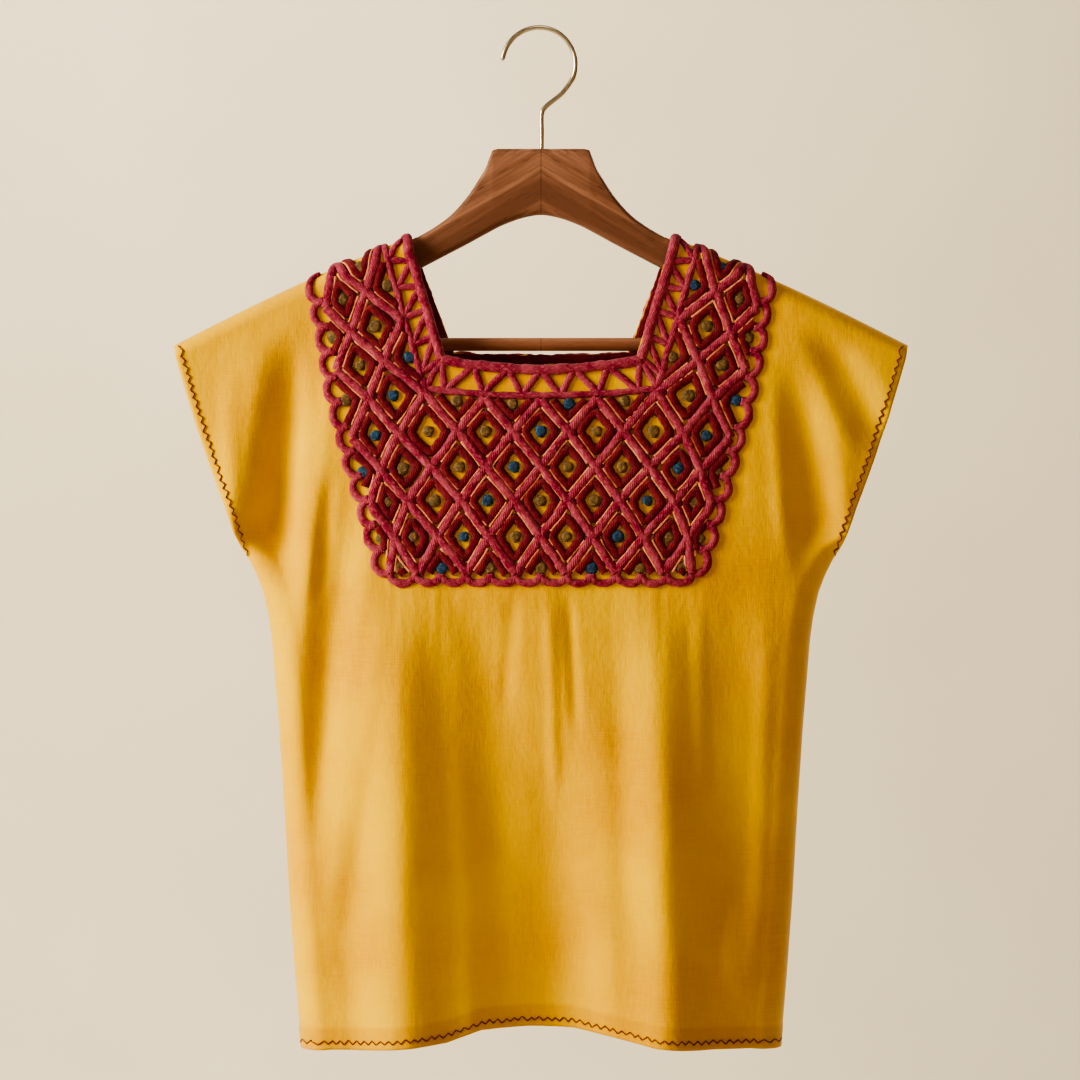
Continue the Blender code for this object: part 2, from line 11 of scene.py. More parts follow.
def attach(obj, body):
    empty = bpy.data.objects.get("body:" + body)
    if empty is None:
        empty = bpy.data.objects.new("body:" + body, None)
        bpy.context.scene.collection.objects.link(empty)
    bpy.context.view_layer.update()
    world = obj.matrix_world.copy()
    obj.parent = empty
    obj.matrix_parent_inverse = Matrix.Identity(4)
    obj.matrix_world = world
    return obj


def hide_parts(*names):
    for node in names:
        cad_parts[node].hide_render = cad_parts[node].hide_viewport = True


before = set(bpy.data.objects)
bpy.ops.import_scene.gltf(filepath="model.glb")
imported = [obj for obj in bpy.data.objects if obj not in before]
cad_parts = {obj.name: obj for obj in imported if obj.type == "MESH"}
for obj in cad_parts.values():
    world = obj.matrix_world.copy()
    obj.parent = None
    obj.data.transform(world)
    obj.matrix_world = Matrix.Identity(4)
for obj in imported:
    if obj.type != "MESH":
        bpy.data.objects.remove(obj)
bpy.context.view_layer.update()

bl_info = {
    "name": "Blouse on a hanger",
    "version": (1, 0, 0),
    "blender": (4, 5, 0),
    "location": "3D View > Sidebar > Blouse",
    "description": "Dresses a corded blouse and its wooden hanger, and lights them",
    "category": "Object",
}

MM = 0.001
FRONT, BACK = -1.0, 1.0
SIDES = (("front", FRONT), ("back", BACK))
BODY = "root"

# Cloth, in millimetres, as the solids under it
WALL = 1.7
SEAM_HALF_GAP = 0.15
SHOULDER_ROLL = 12.0
SIDE_ROLL = 20.0
UNDERARM_Z = -402.0
UNDERARM_X = 222.0
HEM_TURN_UP = 15.0
NECK_SHOULDER_X = 99.5
NECK_CORNER_X = {FRONT: 72.0, BACK: 66.5}
NECK_UNDER_X = 66.0
NECK_CORNER_Z = {FRONT: -248.5, BACK: -244.0}
NECK_SAG = {FRONT: 7.5, BACK: 2.0}
SHOULDER_NECK_Z = -157.3
SHOULDER_TIP_X = 279.0
SHOULDER_TIP_Z = -239.8
SHOULDER_BOW = 3.0
CUFF_BOW = 3.0
EDGE_FLATTEN = 0.30
FOLD_FADE = 42.0
# A fold dies out past its lower end, unless it runs on to the hem
FOLD_RUN_OUT = 1.25
FOLD_SWELL = 3.2
FOLD_DIE = 3.0
FOLD_TO_HEM = -770.0
UNDERARM_BLEND = 40.0

# Outline from sleeve tip through underarm to hem: height, half width
OUTLINE = ((-235, 280.5), (-240, 279), (-259, 274), (-307, 258), (-335, 250),
           (-364, 240.5), (-390, 228.5), (-402, 222), (-414, 216), (-427, 211),
           (-445, 207), (-464, 204.4), (-530, 199), (-590, 195), (-660, 191),
           (-714, 187), (-775, 182))
# Half depth of the body at its centre: height, depth
BODY_DEPTH = ((-157, 14), (-200, 17), (-250, 24), (-330, 35), (-402, 43),
              (-500, 48), (-640, 54), (-775, 60))
# Height of the hem: across, height
HEM = ((-182, -771.5), (-160, -769), (-135, -768.5), (-96, -765), (-70, -762),
       (-45, -754), (-10, -752.5), (25, -753.8), (52, -758.6), (86, -765.4),
       (120, -768), (160, -768.5), (182, -771))
# Folds: across at top, across at bottom, top, bottom, half width, rise, share of rise at top
FOLDS = {
    FRONT: (
        (-114, -102, -422, -776, 44, 19, 0.2),
        (90, 97, -422, -776, 38, 18, 0.2),
        (-24, 0, -424, -776, 68, -25, 0.16),
        (-142, -174, -320, -600, 25, -10, 0.6),
        (148, 146, -405, -660, 26, -11, 0.6),
        (176, 170, -430, -700, 20, 4, 0.8),
        (-180, -205, -215, -425, 31, -13, 0.7),
        (188, 214, -245, -420, 27, -11, 0.6),
        (212, 250, -222, -308, 26, -7, 0.8),
    ),
    BACK: (
        (-60, -72, -366, -776, 40, 15, 0.15),
        (66, 70, -370, -776, 42, 16, 0.15),
        (4, 0, -368, -776, 58, -18, 0.1),
        (-150, -162, -380, -690, 24, -8, 0.5),
        (148, 160, -360, -720, 24, -8, 0.5),
        (-206, -216, -238, -390, 20, -7, 0.8),
        (203, 214, -236, -388, 20, -7, 0.8),
    ),
}
# Smaller creases that only the fine cloth has, in the same columns
CREASES = {
    FRONT: (
        (6, 10, -418, -560, 7, 1.6, 1),
        (19, 26, -418, -520, 7, -1.8, 1),
        (-20, -26, -420, -500, 9, -1.3, 1),
        (-118, -150, -425, -640, 14, 2.2, 0.5),
        (-196, -188, -430, -560, 9, -2.4, 0.8),
        (118, 120, -425, -560, 10, 1.8, 0.8),
        (-176, -182, -228, -380, 14, 3, 0.8),
        (-158, -166, -330, -420, 10, -3, 0.7),
        (-236, -232, -250, -392, 12, 2.2, 0.6),
        (178, 182, -250, -380, 12, 2, 0.6),
        (184, 178, -425, -776, 46, -8, 0.7),
        (-188, -210, -262, -440, 36, -6, 0.5),
        (-208, -222, -222, -360, 36, 4, 0.8),
        (232, 226, -262, -390, 15, 1.3, 0.6),
        (-40, -34, -560, -776, 20, -2.4, 0.3),
        (-106, -102, -416, -640, 38, 6, 1),
        (-46, -34, -416, -620, 32, -4, 1),
        (86, 90, -416, -640, 36, 6.5, 1),
        (8, 32, -500, -776, 42, -8, 0.4),
        (150, 147, -402, -680, 27, 8.5, 0.6),
    ),
    BACK: (
        (-30, -36, -335, -500, 10, 1.8, 1),
        (12, 18, -335, -470, 9, -1.8, 1),
        (110, 120, -360, -600, 14, 2.4, 0.6),
        (-112, -118, -360, -620, 14, -2.4, 0.6),
        (-180, -184, -240, -380, 13, 2.6, 0.8),
        (182, 186, -240, -380, 13, 2.6, 0.8),
        (30, 38, -560, -776, 18, -2.4, 0.3),
    ),
}

# Unevenness of the cloth: rate across, lean, rate down, start, start for each side, height
UNEVEN = ((0.012, 0.0, 0.0045, 0.0, 3.7, 2.4), (0.036, 0.006, 0.013, 11.0, 1.0, 0.9),
          (0.11, 0.0, 0.075, 23.0, 1.0, 0.22))
FINE_FADE_SEAM = 20.0
FINE_FADE_EDGE = 24.0
CALM_SHARE = 0.25
CALM_EDGE = 14.0
# Gathers under the yoke: how far down, how far they take to start and to fade, height, rates
GATHERS = (150.0, 8.0, 42.0, 0.9, (0.16, 0.004))
GATHERS_PAST_YOKE = 10.0
YOKE_END_DROP = 6.0
# Pucker along the hem: how far up, height, rate
PUCKER = (26.0, 0.45, 0.14)

# Yoke, with half cells across and down as lattice steps
YOKE_TOP_HALF = 178.0
YOKE_TOP_Z = -210.0
YOKE_TAPER = 0.287
YOKE_SEAM_X = 174.0
RAIL_TOP_X = 119.0
RAIL_CORNER = (87.5, -273.6)
RAIL_SAG = {FRONT: 5.5, BACK: 2.0}
RAIL_GAP = 3.0
LATTICE_COLUMNS = ((0.0, 0.0), (0.134, 0.155), (0.268, 0.315), (0.402, 0.465), (0.550, 0.615),
                   (0.703, 0.765), (0.822, 0.875), (1.0, 1.0))
LATTICE_NECK = 4
LATTICE_ROWS = {
    FRONT: (-277.0, -306.0, -332.8, -358.2, -385.2, -412.6),
    BACK: (-277.0, -304.0, -330.0, -355.0),
}
LATTICE_FULL_ROWS = 5
LATTICE_LEAN = 6.0
BORDER_INSET = 7.0
SCALLOP_PITCH = 19.0
BAND_INSET = 3.2
BAND_SIDE_PERIODS = 5
BAND_LOW_PERIODS = 6
# Half cells from one blue knot of a row to the next, and where the first lies
BLUE_EVERY = 6
BLUE_AT = 5

# Fine cloth: columns each side of the centre and rows in each zone
FINE_COLUMNS = (("neck", 22), ("outer", 56), ("roll", 8))
FINE_ROWS = (("roll", 7), ("neck", 30), ("chest", 50), ("body", 110), ("turn", 8))
HEM_STEP = 0.35
# Depth and height, in metres, of the place whose face tells which way the cloth is turned
TEST_PLACE = (0.05, -0.6)

# Cords: how finely they are drawn, in millimetres, and how they lie
CORD_STEP = 1.15
CORD_SIDES = 8
CORD_SINK = 0.34
CORD_SEED = 0.013
# How much a cord's width and height vary and how far it strays, each with its rate along the cord
WIDTH_VARIES = (0.20, 0.22)
HEIGHT_VARIES = (0.08, 0.3)
STRAY = (0.9, 0.07)
UV_TURN = 2.6
RING_INSET = 6.3
RING_STRAY = 0.8
RING_VARIES = (-0.3, 0.4)
RING_CUTS = (0.12, 0.28)
# Thin light threads beside the cords: painted highlight, laid where warm light catches the cords' edges
HIGHLIGHT_INSET = 3.5
HIGHLIGHT_WIDTH = 1.8
HIGHLIGHT_LIFT = 1.9
HIGHLIGHT_SKIP = 0.2
HIGHLIGHT_VARIES = (-0.2, 0.3)
HIGHLIGHT_FROM = (0.0, 0.16)
HIGHLIGHT_TO = (0.80, 1.0)
RAIL_WIDTH = 5.6
ZIGZAG_WIDTH = 5.4
SCALLOP_WIDTH = 6.2
SCALLOP_BULGE_SIDE = 9.0
SCALLOP_BULGE_LOW = 6.6
SCALLOP_START = 0.6
SCALLOP_STEPS = 12
SCALLOP_ROUND = 0.8
SCALLOP_NARROW = 0.98
SCALLOP_LIFT = 0.12
SEAM_CLEAR = 0.2
ROPE_FLATNESS = 0.34
ROPE_LIFT = 0.25
BAND_LIFT = 0.05
EDGE_LIFT = 0.3
INSIDE_FLATNESS = 0.10
INSIDE_SHARE = 0.9
ROOM_LEAST = 0.12
STITCH_INSET = 5.5
STITCH_END = 4.0
STITCH_LENGTH = 3.1
STITCH_SWING = 1.4
STITCH_WIDTH = 0.95
STITCH_STRAY = 0.25
STITCH_FLATNESS = 0.5
STITCH_LIFT = 0.15
KNOT_WIDTH = 8.8
KNOT_HEIGHT = 1.9
KNOT_LIFT = 1.1
KNOT_SIZES = (0.9, 1.12)
# Turns of thread, lumps and the dip in a knot's middle: each a size and its rates
KNOT_COILS = (0.09, 3.0, 5.0)
KNOT_LUMPS = (0.14, 1.8)
KNOT_DIP = (0.35, 9.0)
# How far the knot of a cut diamond lies towards its tip, at the shoulder seam and elsewhere
KNOT_SHIFT_SEAM = 0.34
KNOT_SHIFT = 0.14

# Hanger
ARM_HALF_THICK = 6.5
ARM_EDGE_ROUND = 5.2
ARM_CLEAR = 0.75
ARM_STATIONS = 60
ARM_ROUND_STEPS = 7
ARM_GRAIN_SLANT = 30.0
# How the arms thin out at their tips: over what length, to what share
ARM_TIP = (9.0, 0.55)
BAR_EASE = 0.8
SHARP_EDGE = math.radians(40.0)
WIRE_SHARP_EDGE = math.radians(50.0)
BAR_RADIUS = 5.0
BAR_GAP = 0.3
WIRE_RADIUS = 1.9
HOOK_STEPS = 90
BAR_Z = -239.0
FOOT_X = 184.0
RING_RADIUS = 27.8
RING_CENTRE_X = -1.5
RING_START = -23.0
RING_END = 175.0
RING_LEAD = 6.0
HOOK_BEND = ((0.6, -90.1), (0.6, -76.0), (0.6, -64.5), (1.8, -60.5), (5.0, -57.0), (9.8, -53.2),
             (15.0, -49.0), (19.6, -43.6))
BEND_STEPS = 8
# Wire's radius at its rounded end, from the tip inwards, as shares
WIRE_END = (0.30, 0.72, 0.93)
HANGER_TOP = ((0.0, -90.4), (15.0, -90.4), (33.0, -90.4), (37.0, -91.6), (38.6, -95.5),
              (42.1, -104.9), (47.6, -114.0), (55.5, -126.2), (69.2, -141.4), (82.8, -151.2),
              (95.0, -158.2))
HANGER_LOW = ((0.0, -140.6), (10.6, -142.1), (28.6, -148.2), (41.8, -155.0), (55.5, -162.5),
              (73.3, -171.8), (89.2, -180.1), (184.0, -233.0), (184.5, -249.0), (205.0, -249.5),
              (212.0, -245.5), (217.0, -236.0))
ARCH_ROWS = 7
TIP_START = 205.0
TIP_END = 217.0
TIP_DROP = 10.0

# Camera and studio, in metres, with the picture's scale at the blouse
PICTURE_SIDE = 1080
METRES_PER_PIXEL = 0.00076
PICTURE_CENTRE = (540.0, 540.0)
ORIGIN_PIXEL = (541.0, 30.0)
CAMERA_DISTANCE = 3.0
SENSOR = 36.0
FLOOR_Z = -1.6
WALL_Y = 4.6
SWEEP_RADIUS = 1.2
SWEEP_REACH = 16.0
AIR_STRENGTH = 0.13
# Lights: name, place, aim, size, share of the main light, colour
LIGHTS = (
    ("key_left", (-2.4, -0.95, 0.30), (0.0, 0.0, -0.42), (1.0, 1.5), 1.85, (1.0, 0.985, 0.76)),
    ("fill_warm", (0.9, -3.0, 0.2), (0.0, 0.0, -0.4), (2.2, 2.2), 0.16, (1.0, 0.48, 0.17)),
    ("from_above", (0.15, -1.5, 2.0), (0.0, 0.04, -0.2), (1.0, 1.0), 0.18, (1.0, 0.92, 0.74)),
    ("back_soft", (1.6, 2.4, 0.9), (0.0, 0.0, -0.4), (1.8, 1.8), 0.75, (1.0, 0.93, 0.80)),
    ("wall_wash", (-1.4, 1.6, 1.9), (-0.7, 4.6, -0.3), (3.0, 1.2), 2.5, (1.0, 0.94, 0.77)),
)


def between(rows, at):
    """Read a short table of pairs at one place, straight between its rows."""
    rising = rows[0][0] < rows[-1][0]
    for (x0, y0), (x1, y1) in zip(rows, rows[1:]):
        inside = at <= x1 if rising else at >= x1
        if inside:
            break
    return y0 + (y1 - y0) * (at - x0) / (x1 - x0)


def flowing(rows, at):
    """Read a short table of pairs at one place, in a soft curve that never overshoots its rows."""
    slopes = [(y1 - y0) / (x1 - x0) for (x0, y0), (x1, y1) in zip(rows, rows[1:])]
    leans = [0.0]
    for before, after in zip(slopes, slopes[1:]):
        leans.append(2.0 * before * after / (before + after) if before * after > 0.0 else 0.0)
    leans.append(slopes[-1])
    k = 0
    while k < len(slopes) - 1 and at > rows[k + 1][0]:
        k += 1
    (x0, y0), (x1, y1) = rows[k], rows[k + 1]
    t = (at - x0) / (x1 - x0)
    start, end = leans[k] * (x1 - x0), leans[k + 1] * (x1 - x0)
    return (y0 * (2.0 * t ** 3 - 3.0 * t * t + 1.0) + start * (t ** 3 - 2.0 * t * t + t)
            + y1 * (3.0 * t * t - 2.0 * t ** 3) + end * (t ** 3 - t * t))


def smooth(value):
    """Ease from 0 to 1."""
    value = min(max(value, 0.0), 1.0)
    return value * value * (3.0 - 2.0 * value)


def mix(low, high, share):
    return low + (high - low) * share


def seam_height(x):
    """Height of the shoulder seam at a distance from the centre."""
    share = (x - NECK_SHOULDER_X) / (SHOULDER_TIP_X - NECK_SHOULDER_X)
    bow = SHOULDER_BOW * math.sin(math.pi * share) if 0.0 < share < 1.0 else 0.0
    return mix(SHOULDER_NECK_Z, SHOULDER_TIP_Z, share) + bow


def roll(distance, radius):
    """Turn a flat distance from a seam into (distance seen, share of full depth)."""
    if distance >= radius:
        return distance, 1.0
    turn = distance / radius * math.pi / 2
    return radius * (1.0 - math.cos(turn)), math.sin(turn)


def folds(x, z, table):
    """Sum of the soft ridges and troughs at one place."""
    total = 0.0
    for x_top, x_low, z_top, z_low, half, rise, start in table:
        along = (z_top - z) / (z_top - z_low)
        if along <= 0.0 or along > FOLD_RUN_OUT:
            continue
        across = abs(x - mix(x_top, x_low, along)) / half
        if across >= 1.0:
            continue
        strength = mix(start, 1.0, smooth(along)) * smooth(along * FOLD_SWELL)
        if z_low > FOLD_TO_HEM:
            strength *= smooth((FOLD_RUN_OUT - along) * FOLD_DIE)
        total += rise * strength * 0.5 * (1.0 + math.cos(math.pi * across))
    return total


def yoke_half(z):
    """Half width of the lattice at a height."""
    return min(YOKE_TOP_HALF, YOKE_TOP_HALF + YOKE_TAPER * (z - YOKE_TOP_Z))


def wrinkles(x, z, side):
    """Small uneven creases of hanging cotton, calmer where the cords stiffen it."""
    yoke_end = LATTICE_ROWS[side][-1] - YOKE_END_DROP
    outside = smooth((abs(x) - yoke_half(z)) / CALM_EDGE) if z > yoke_end else 1.0
    outside = max(outside, smooth((yoke_end - z) / CALM_EDGE))
    total = 0.0
    for across, lean, down, start, apart, height in UNEVEN:
        total += noise.noise(Vector((x * across + z * lean, z * down, start + side * apart))) * height
    total *= mix(CALM_SHARE, 1.0, outside)
    below = yoke_end - z
    reach, starting, fading, height, (across, down) = GATHERS
    if 0.0 < below < reach and abs(x) < yoke_half(yoke_end) + GATHERS_PAST_YOKE:
        pull = math.exp(-below / fading) * smooth(below / starting)
        total += height * pull * noise.noise(Vector((x * across, below * down, 31.0 + side)))
    above_hem = z - between(HEM, min(max(x, HEM[0][0]), HEM[-1][0]))
    reach, height, across = PUCKER
    if above_hem < reach:
        total += height * smooth(1.0 - above_hem / reach) * noise.noise(Vector((x * across, 7.0, side)))
    return total


def surface(x, z, side):
    """Place of a flat point of the cloth on its outer face."""
    seam = seam_height(abs(x))
    drop, over = roll(seam - z, SHOULDER_ROLL)
    height = seam - drop
    half = between(OUTLINE, height)
    sign = 1.0 if x >= 0.0 else -1.0
    inward = half - abs(x)
    rise = max(height - UNDERARM_Z, 0.0)
    hidden, _ = roll(inward, SIDE_ROLL)
    near = max(0.0, 1.0 - rise / UNDERARM_BLEND)
    out = abs(x) + near * ((half - hidden) - abs(x))
    reach = math.hypot(max(inward, 0.0), rise) if rise > 0.0 else inward
    _, closed = roll(reach, SIDE_ROLL)
    depth = between(BODY_DEPTH, height) * (1.0 - EDGE_FLATTEN * (out / half) ** 2)
    fade = smooth((seam - height) / FOLD_FADE) * smooth(reach / FOLD_FADE)
    fine = smooth((seam - height) / FINE_FADE_SEAM) * smooth(reach / FINE_FADE_EDGE)
    depth = depth * over * closed + folds(x, height, FOLDS[side]) * fade
    depth += (folds(x, height, CREASES[side]) + wrinkles(x, height, side)) * fine
    return Vector((sign * out, side * (depth + SEAM_HALF_GAP), height))


def cloth_frame(x, z, side):
    """Place of a flat point and the cloth's outward normal there."""
    step = 0.5
    across = surface(x + step, z, side) - surface(x - step, z, side)
    down = surface(x, z - step, side) - surface(x, z + step, side)
    return surface(x, z, side), across.cross(down).normalized() * side


def neck_column(drop, side):
    """Half width of the neck's side column, by its share of the way down to the underarm."""
    corner = (NECK_CORNER_Z[side] - SHOULDER_NECK_Z) / (UNDERARM_Z - SHOULDER_NECK_Z)
    if drop <= corner:
        return mix(NECK_SHOULDER_X, NECK_CORNER_X[side], drop / corner)
    return mix(NECK_CORNER_X[side], NECK_UNDER_X, (drop - corner) / (1.0 - corner))


def column_x(kind, share, edge, inner):
    """Distance of a column from the centre, where the edge and the neck's column are known."""
    if kind == "neck":
        return inner * share
    if kind == "outer":
        return mix(inner, edge - SIDE_ROLL, share)
    return edge - SIDE_ROLL * share


def panel_point(column, row, side):
    """Flat point of the panel where a column and a row cross."""
    sign, kind, share = column
    zone, part = row
    seam = seam_height(max(column_x(kind, share, SHOULDER_TIP_X, NECK_SHOULDER_X), NECK_SHOULDER_X))
    start = seam - SHOULDER_ROLL
    neck_start = SHOULDER_NECK_Z - SHOULDER_ROLL
    neck_share = (NECK_CORNER_Z[side] - neck_start) / (UNDERARM_Z - neck_start)
    corner = mix(start, UNDERARM_Z, neck_share)
    if kind == "neck":
        corner = NECK_CORNER_Z[side] - NECK_SAG[side] * (1.0 - share ** 2)
    under = sign * column_x(kind, share, UNDERARM_X, NECK_UNDER_X)
    hem = between(HEM, under * OUTLINE[-1][1] / UNDERARM_X)
    levels = {"roll": (seam, start), "neck": (start, corner), "chest": (corner, UNDERARM_Z),
              "body": (UNDERARM_Z, hem + HEM_TURN_UP), "turn": (hem + HEM_TURN_UP, hem)}
    z = mix(*levels[zone], part)
    if z < UNDERARM_Z:
        edge = between(OUTLINE, z)
        return sign * column_x(kind, share, edge, NECK_UNDER_X * edge / UNDERARM_X), z
    drop = (z - seam) / (UNDERARM_Z - seam)
    edge = mix(SHOULDER_TIP_X, UNDERARM_X, drop) + CUFF_BOW * math.sin(math.pi * drop)
    return sign * column_x(kind, share, edge, neck_column(drop, side)), z


def lattice_point(a, b, side):
    """Flat point of the lattice: a half cells across, b half cells down from the shoulder."""
    rows = LATTICE_ROWS[side]
    reach = abs(a)
    sign = 1.0 if a >= 0 else -1.0
    last = len(LATTICE_COLUMNS) - 1
    outward = max(0.0, (reach - LATTICE_NECK) / (last - LATTICE_NECK))
    row = max(b, LATTICE_NECK) - LATTICE_NECK
    z = rows[row] - LATTICE_LEAN * outward * (1.0 - row / (len(rows) - 1))
    if row == 0 and reach < LATTICE_NECK:
        z -= RAIL_SAG[side] * (1.0 - (reach / LATTICE_NECK) ** 2)
    x = yoke_half(z) * mix(*LATTICE_COLUMNS[reach], row / LATTICE_FULL_ROWS)
    if b < LATTICE_NECK:
        share = b / LATTICE_NECK
        top_x = mix(RAIL_TOP_X + RAIL_GAP, YOKE_SEAM_X, outward)
        x = mix(top_x, x, share)
        z = mix(seam_height(top_x), z, share)
    if reach == last:
        x -= BORDER_INSET
    return sign * x, z


def lattice_size(side):
    """Last half cell across and last half cell down."""
    return len(LATTICE_COLUMNS) - 1, LATTICE_NECK + len(LATTICE_ROWS[side]) - 1


def on_yoke(a, b, side):
    last_a, last_b = lattice_size(side)
    return abs(a) <= last_a and 0 <= b <= last_b and not (abs(a) < LATTICE_NECK and b < LATTICE_NECK)


def lattice_centres(side):
    """Middles of the diamonds, the halved ones at the edges too."""
    last_a, last_b = lattice_size(side)
    return [(a, b) for b in range(last_b + 1) for a in range(-last_a, last_a + 1)
            if (a + b) % 2 and on_yoke(a, b, side)]


def linear(red, green, blue):
    """Colour given 0 to 255 a channel, as the shader wants it."""
    shares = (channel / 255.0 for channel in (red, green, blue))
    return tuple(c / 12.92 if c <= 0.04045 else ((c + 0.055) / 1.055) ** 2.4 for c in shares)


def colour_setting(label, words, red, green, blue):
    """Colour property with its default."""
    return FloatVectorProperty(name=label, description=words, subtype="COLOR", size=3,
                               min=0.0, max=1.0, default=linear(red, green, blue))


class BlouseSettings(bpy.types.PropertyGroup):
    """Sizes and colours that a user of the blouse would change."""

    cloth_light: colour_setting("Cloth, light", "Sun-paled threads of the yellow cotton", 232, 184, 8)
    cloth_deep: colour_setting("Cloth, deep", "Where the yellow dye has taken well", 212, 150, 4)
    rose: colour_setting("Rose cord", "Wide cords of the lattice and the scallops", 142, 40, 68)
    maroon: colour_setting("Maroon cord", "Dark cords inside the diamonds", 108, 27, 42)
    # Colour of the thin light threads, which are painted highlight along the cords
    salmon_highlight: colour_setting("Salmon thread", "Fine line between the two cords", 242, 150, 112)
    knot_brown: colour_setting("Brown knots", "Most of the knots in the diamonds", 124, 92, 50)
    knot_blue: colour_setting("Blue knots", "Every third knot along a row", 20, 60, 104)
    stitch: colour_setting("Stitching", "Zigzag thread at hem and cuffs", 136, 50, 30)
    wood_light: colour_setting("Wood, light", "Early wood of the walnut hanger", 176, 126, 104)
    wood_dark: colour_setting("Wood, dark", "Late wood of the walnut hanger", 116, 76, 60)
    rope_width: FloatProperty(name="Lattice cord", description="Width of the wide cords, in millimetres",
                              default=7.8, min=3.0, max=9.0)
    ring_width: FloatProperty(name="Inner cord", description="Width of the dark cords, in millimetres",
                              default=7.2, min=2.0, max=9.0)
    key_power: FloatProperty(name="Main light", description="Strength of the soft light from the left",
                             default=60.0, min=0.0, subtype="POWER", unit="POWER")


def settings():
    return bpy.context.scene.blouse


class Paint:
    """Material in the making, with the few kinds of node that the finishes share."""

    def __init__(self, name, roughness):
        self.finish = bpy.data.materials.new(name)
        self.finish.use_nodes = True
        self.nodes = self.finish.node_tree.nodes
        self.shader = self.nodes["Principled BSDF"]
        self.put(self.shader, Roughness=roughness)

    def fill(self, socket, value):
        """Link a socket to another one, or set its value."""
        if isinstance(value, bpy.types.NodeSocket):
            self.finish.node_tree.links.new(value, socket)
        else:
            socket.default_value = value

    def put(self, node, **values):
        """Fill a node's sockets by name, each space written as an underscore."""
        for name, value in values.items():
            self.fill(node.inputs[name.replace("_", " ")], value)
        return node

    def add(self, kind, **values):
        return self.put(self.nodes.new(kind), **values)

    def on_object(self):
        return self.nodes.new("ShaderNodeTexCoord").outputs["Object"]

    def on_map(self, name):
        unrolled = self.nodes.new("ShaderNodeUVMap")
        unrolled.uv_map = name
        return unrolled.outputs["UV"]

    def speckle(self, place, scale, detail=3.0, stretch=(1.0, 1.0, 1.0), twist=0.0):
        """Noise over a place, stretched the way that threads or grain run."""
        mapping = self.add("ShaderNodeMapping", Vector=place, Scale=stretch, Rotation=(0.0, 0.0, twist))
        texture = self.add("ShaderNodeTexNoise", Vector=mapping.outputs["Vector"], Scale=scale, Detail=detail)
        return texture.outputs["Fac"]

    def ramp(self, value, start, end, low=0.0, high=1.0):
        """Stretch a soft value between two limits to the full range, or to another one."""
        spread = self.add("ShaderNodeMapRange", Value=value, From_Min=start, From_Max=end, To_Min=low,
                          To_Max=high)
        return spread.outputs["Result"]

    def mixed(self, share, low, high):
        """Mix two colours, each a colour or a socket, by a share."""
        mixer = self.add("ShaderNodeMix", Factor=share)
        mixer.data_type = "RGBA"
        for socket, colour in ((mixer.inputs[6], low), (mixer.inputs[7], high)):
            self.fill(socket, colour if isinstance(colour, bpy.types.NodeSocket) else (*colour, 1.0))
        return mixer.outputs[2]

    def maths(self, operation, *values):
        worked = self.nodes.new("ShaderNodeMath")
        worked.operation = operation
        for socket, value in zip(worked.inputs, values):
            self.fill(socket, value)
        return worked.outputs["Value"]

    def scaled(self, value, factor, added=0.0):
        """A value times a factor, plus a number."""
        return self.maths("MULTIPLY_ADD", value, factor, added)

    def relief(self, height, depth, strength=1.0):
        """Let the surface look raised by up to a depth in millimetres."""
        bump = self.add("ShaderNodeBump", Height=height, Distance=depth * MM, Strength=strength)
        self.put(self.shader, Normal=bump.outputs["Normal"])


def darker(colour, share):
    return tuple(c * share for c in colour)


def cotton():
    """Crinkled hand-dyed cotton, with slubs both ways and a darker doubled hem."""
    paint = Paint("yellow_cotton", 0.86)
    chosen = settings()
    place = paint.on_map("flat")
    patches = paint.ramp(paint.speckle(place, 9.0, 4.0), 0.34, 0.66)
    warp = paint.speckle(place, 140.0, 4.0, stretch=(9.0, 0.35, 1.0))
    weft = paint.speckle(place, 140.0, 4.0, stretch=(0.35, 9.0, 1.0))
    threads = paint.maths("ADD", warp, weft)
    crinkle = paint.speckle(place, 260.0, 3.0, stretch=(1.0, 0.6, 1.0))
    body = paint.mixed(patches, chosen.cloth_deep, chosen.cloth_light)
    pale = tuple(min(1.0, c * 1.10) for c in chosen.cloth_light)
    threaded = paint.mixed(paint.ramp(threads, 0.62, 2.1), body, pale)
    hem = paint.nodes.new("ShaderNodeAttribute")
    hem.attribute_name = "turned"
    doubled = tuple(c * s for c, s in zip(chosen.cloth_deep, (0.88, 0.80, 0.45)))
    coloured = paint.mixed(paint.scaled(hem.outputs["Fac"], 0.40), threaded, doubled)
    paint.put(paint.shader, Base_Color=coloured, Sheen_Weight=0.25, Sheen_Roughness=0.5,
              Specular_IOR_Level=0.25, Subsurface_Weight=0.12, Subsurface_Radius=(0.004, 0.002, 0.0006))
    paint.relief(paint.maths("ADD", paint.scaled(threads, 0.22), paint.scaled(crinkle, 0.55)), 0.9, 0.8)
    return paint.finish


def keep(piece, finish, slot, *replaced):
    """Give a finished piece its material, its body and the solids that it stands for. The slot is not used.
    """
    piece.data.materials.clear()
    piece.data.materials.append(finish)
    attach(piece, BODY)
    if replaced:
        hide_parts(*replaced)
    return piece


def nothing_selected():
    if bpy.context.object and bpy.context.object.mode != "OBJECT":
        bpy.ops.object.mode_set(mode="OBJECT")
    bpy.ops.object.select_all(action="DESELECT")


def select_only(piece):
    nothing_selected()
    piece.select_set(True)
    bpy.context.view_layer.objects.active = piece


def apply_all(piece):
    """Apply each modifier of a piece in its order."""
    select_only(piece)
    for name in [modifier.name for modifier in piece.modifiers]:
        bpy.ops.object.modifier_apply(modifier=name)


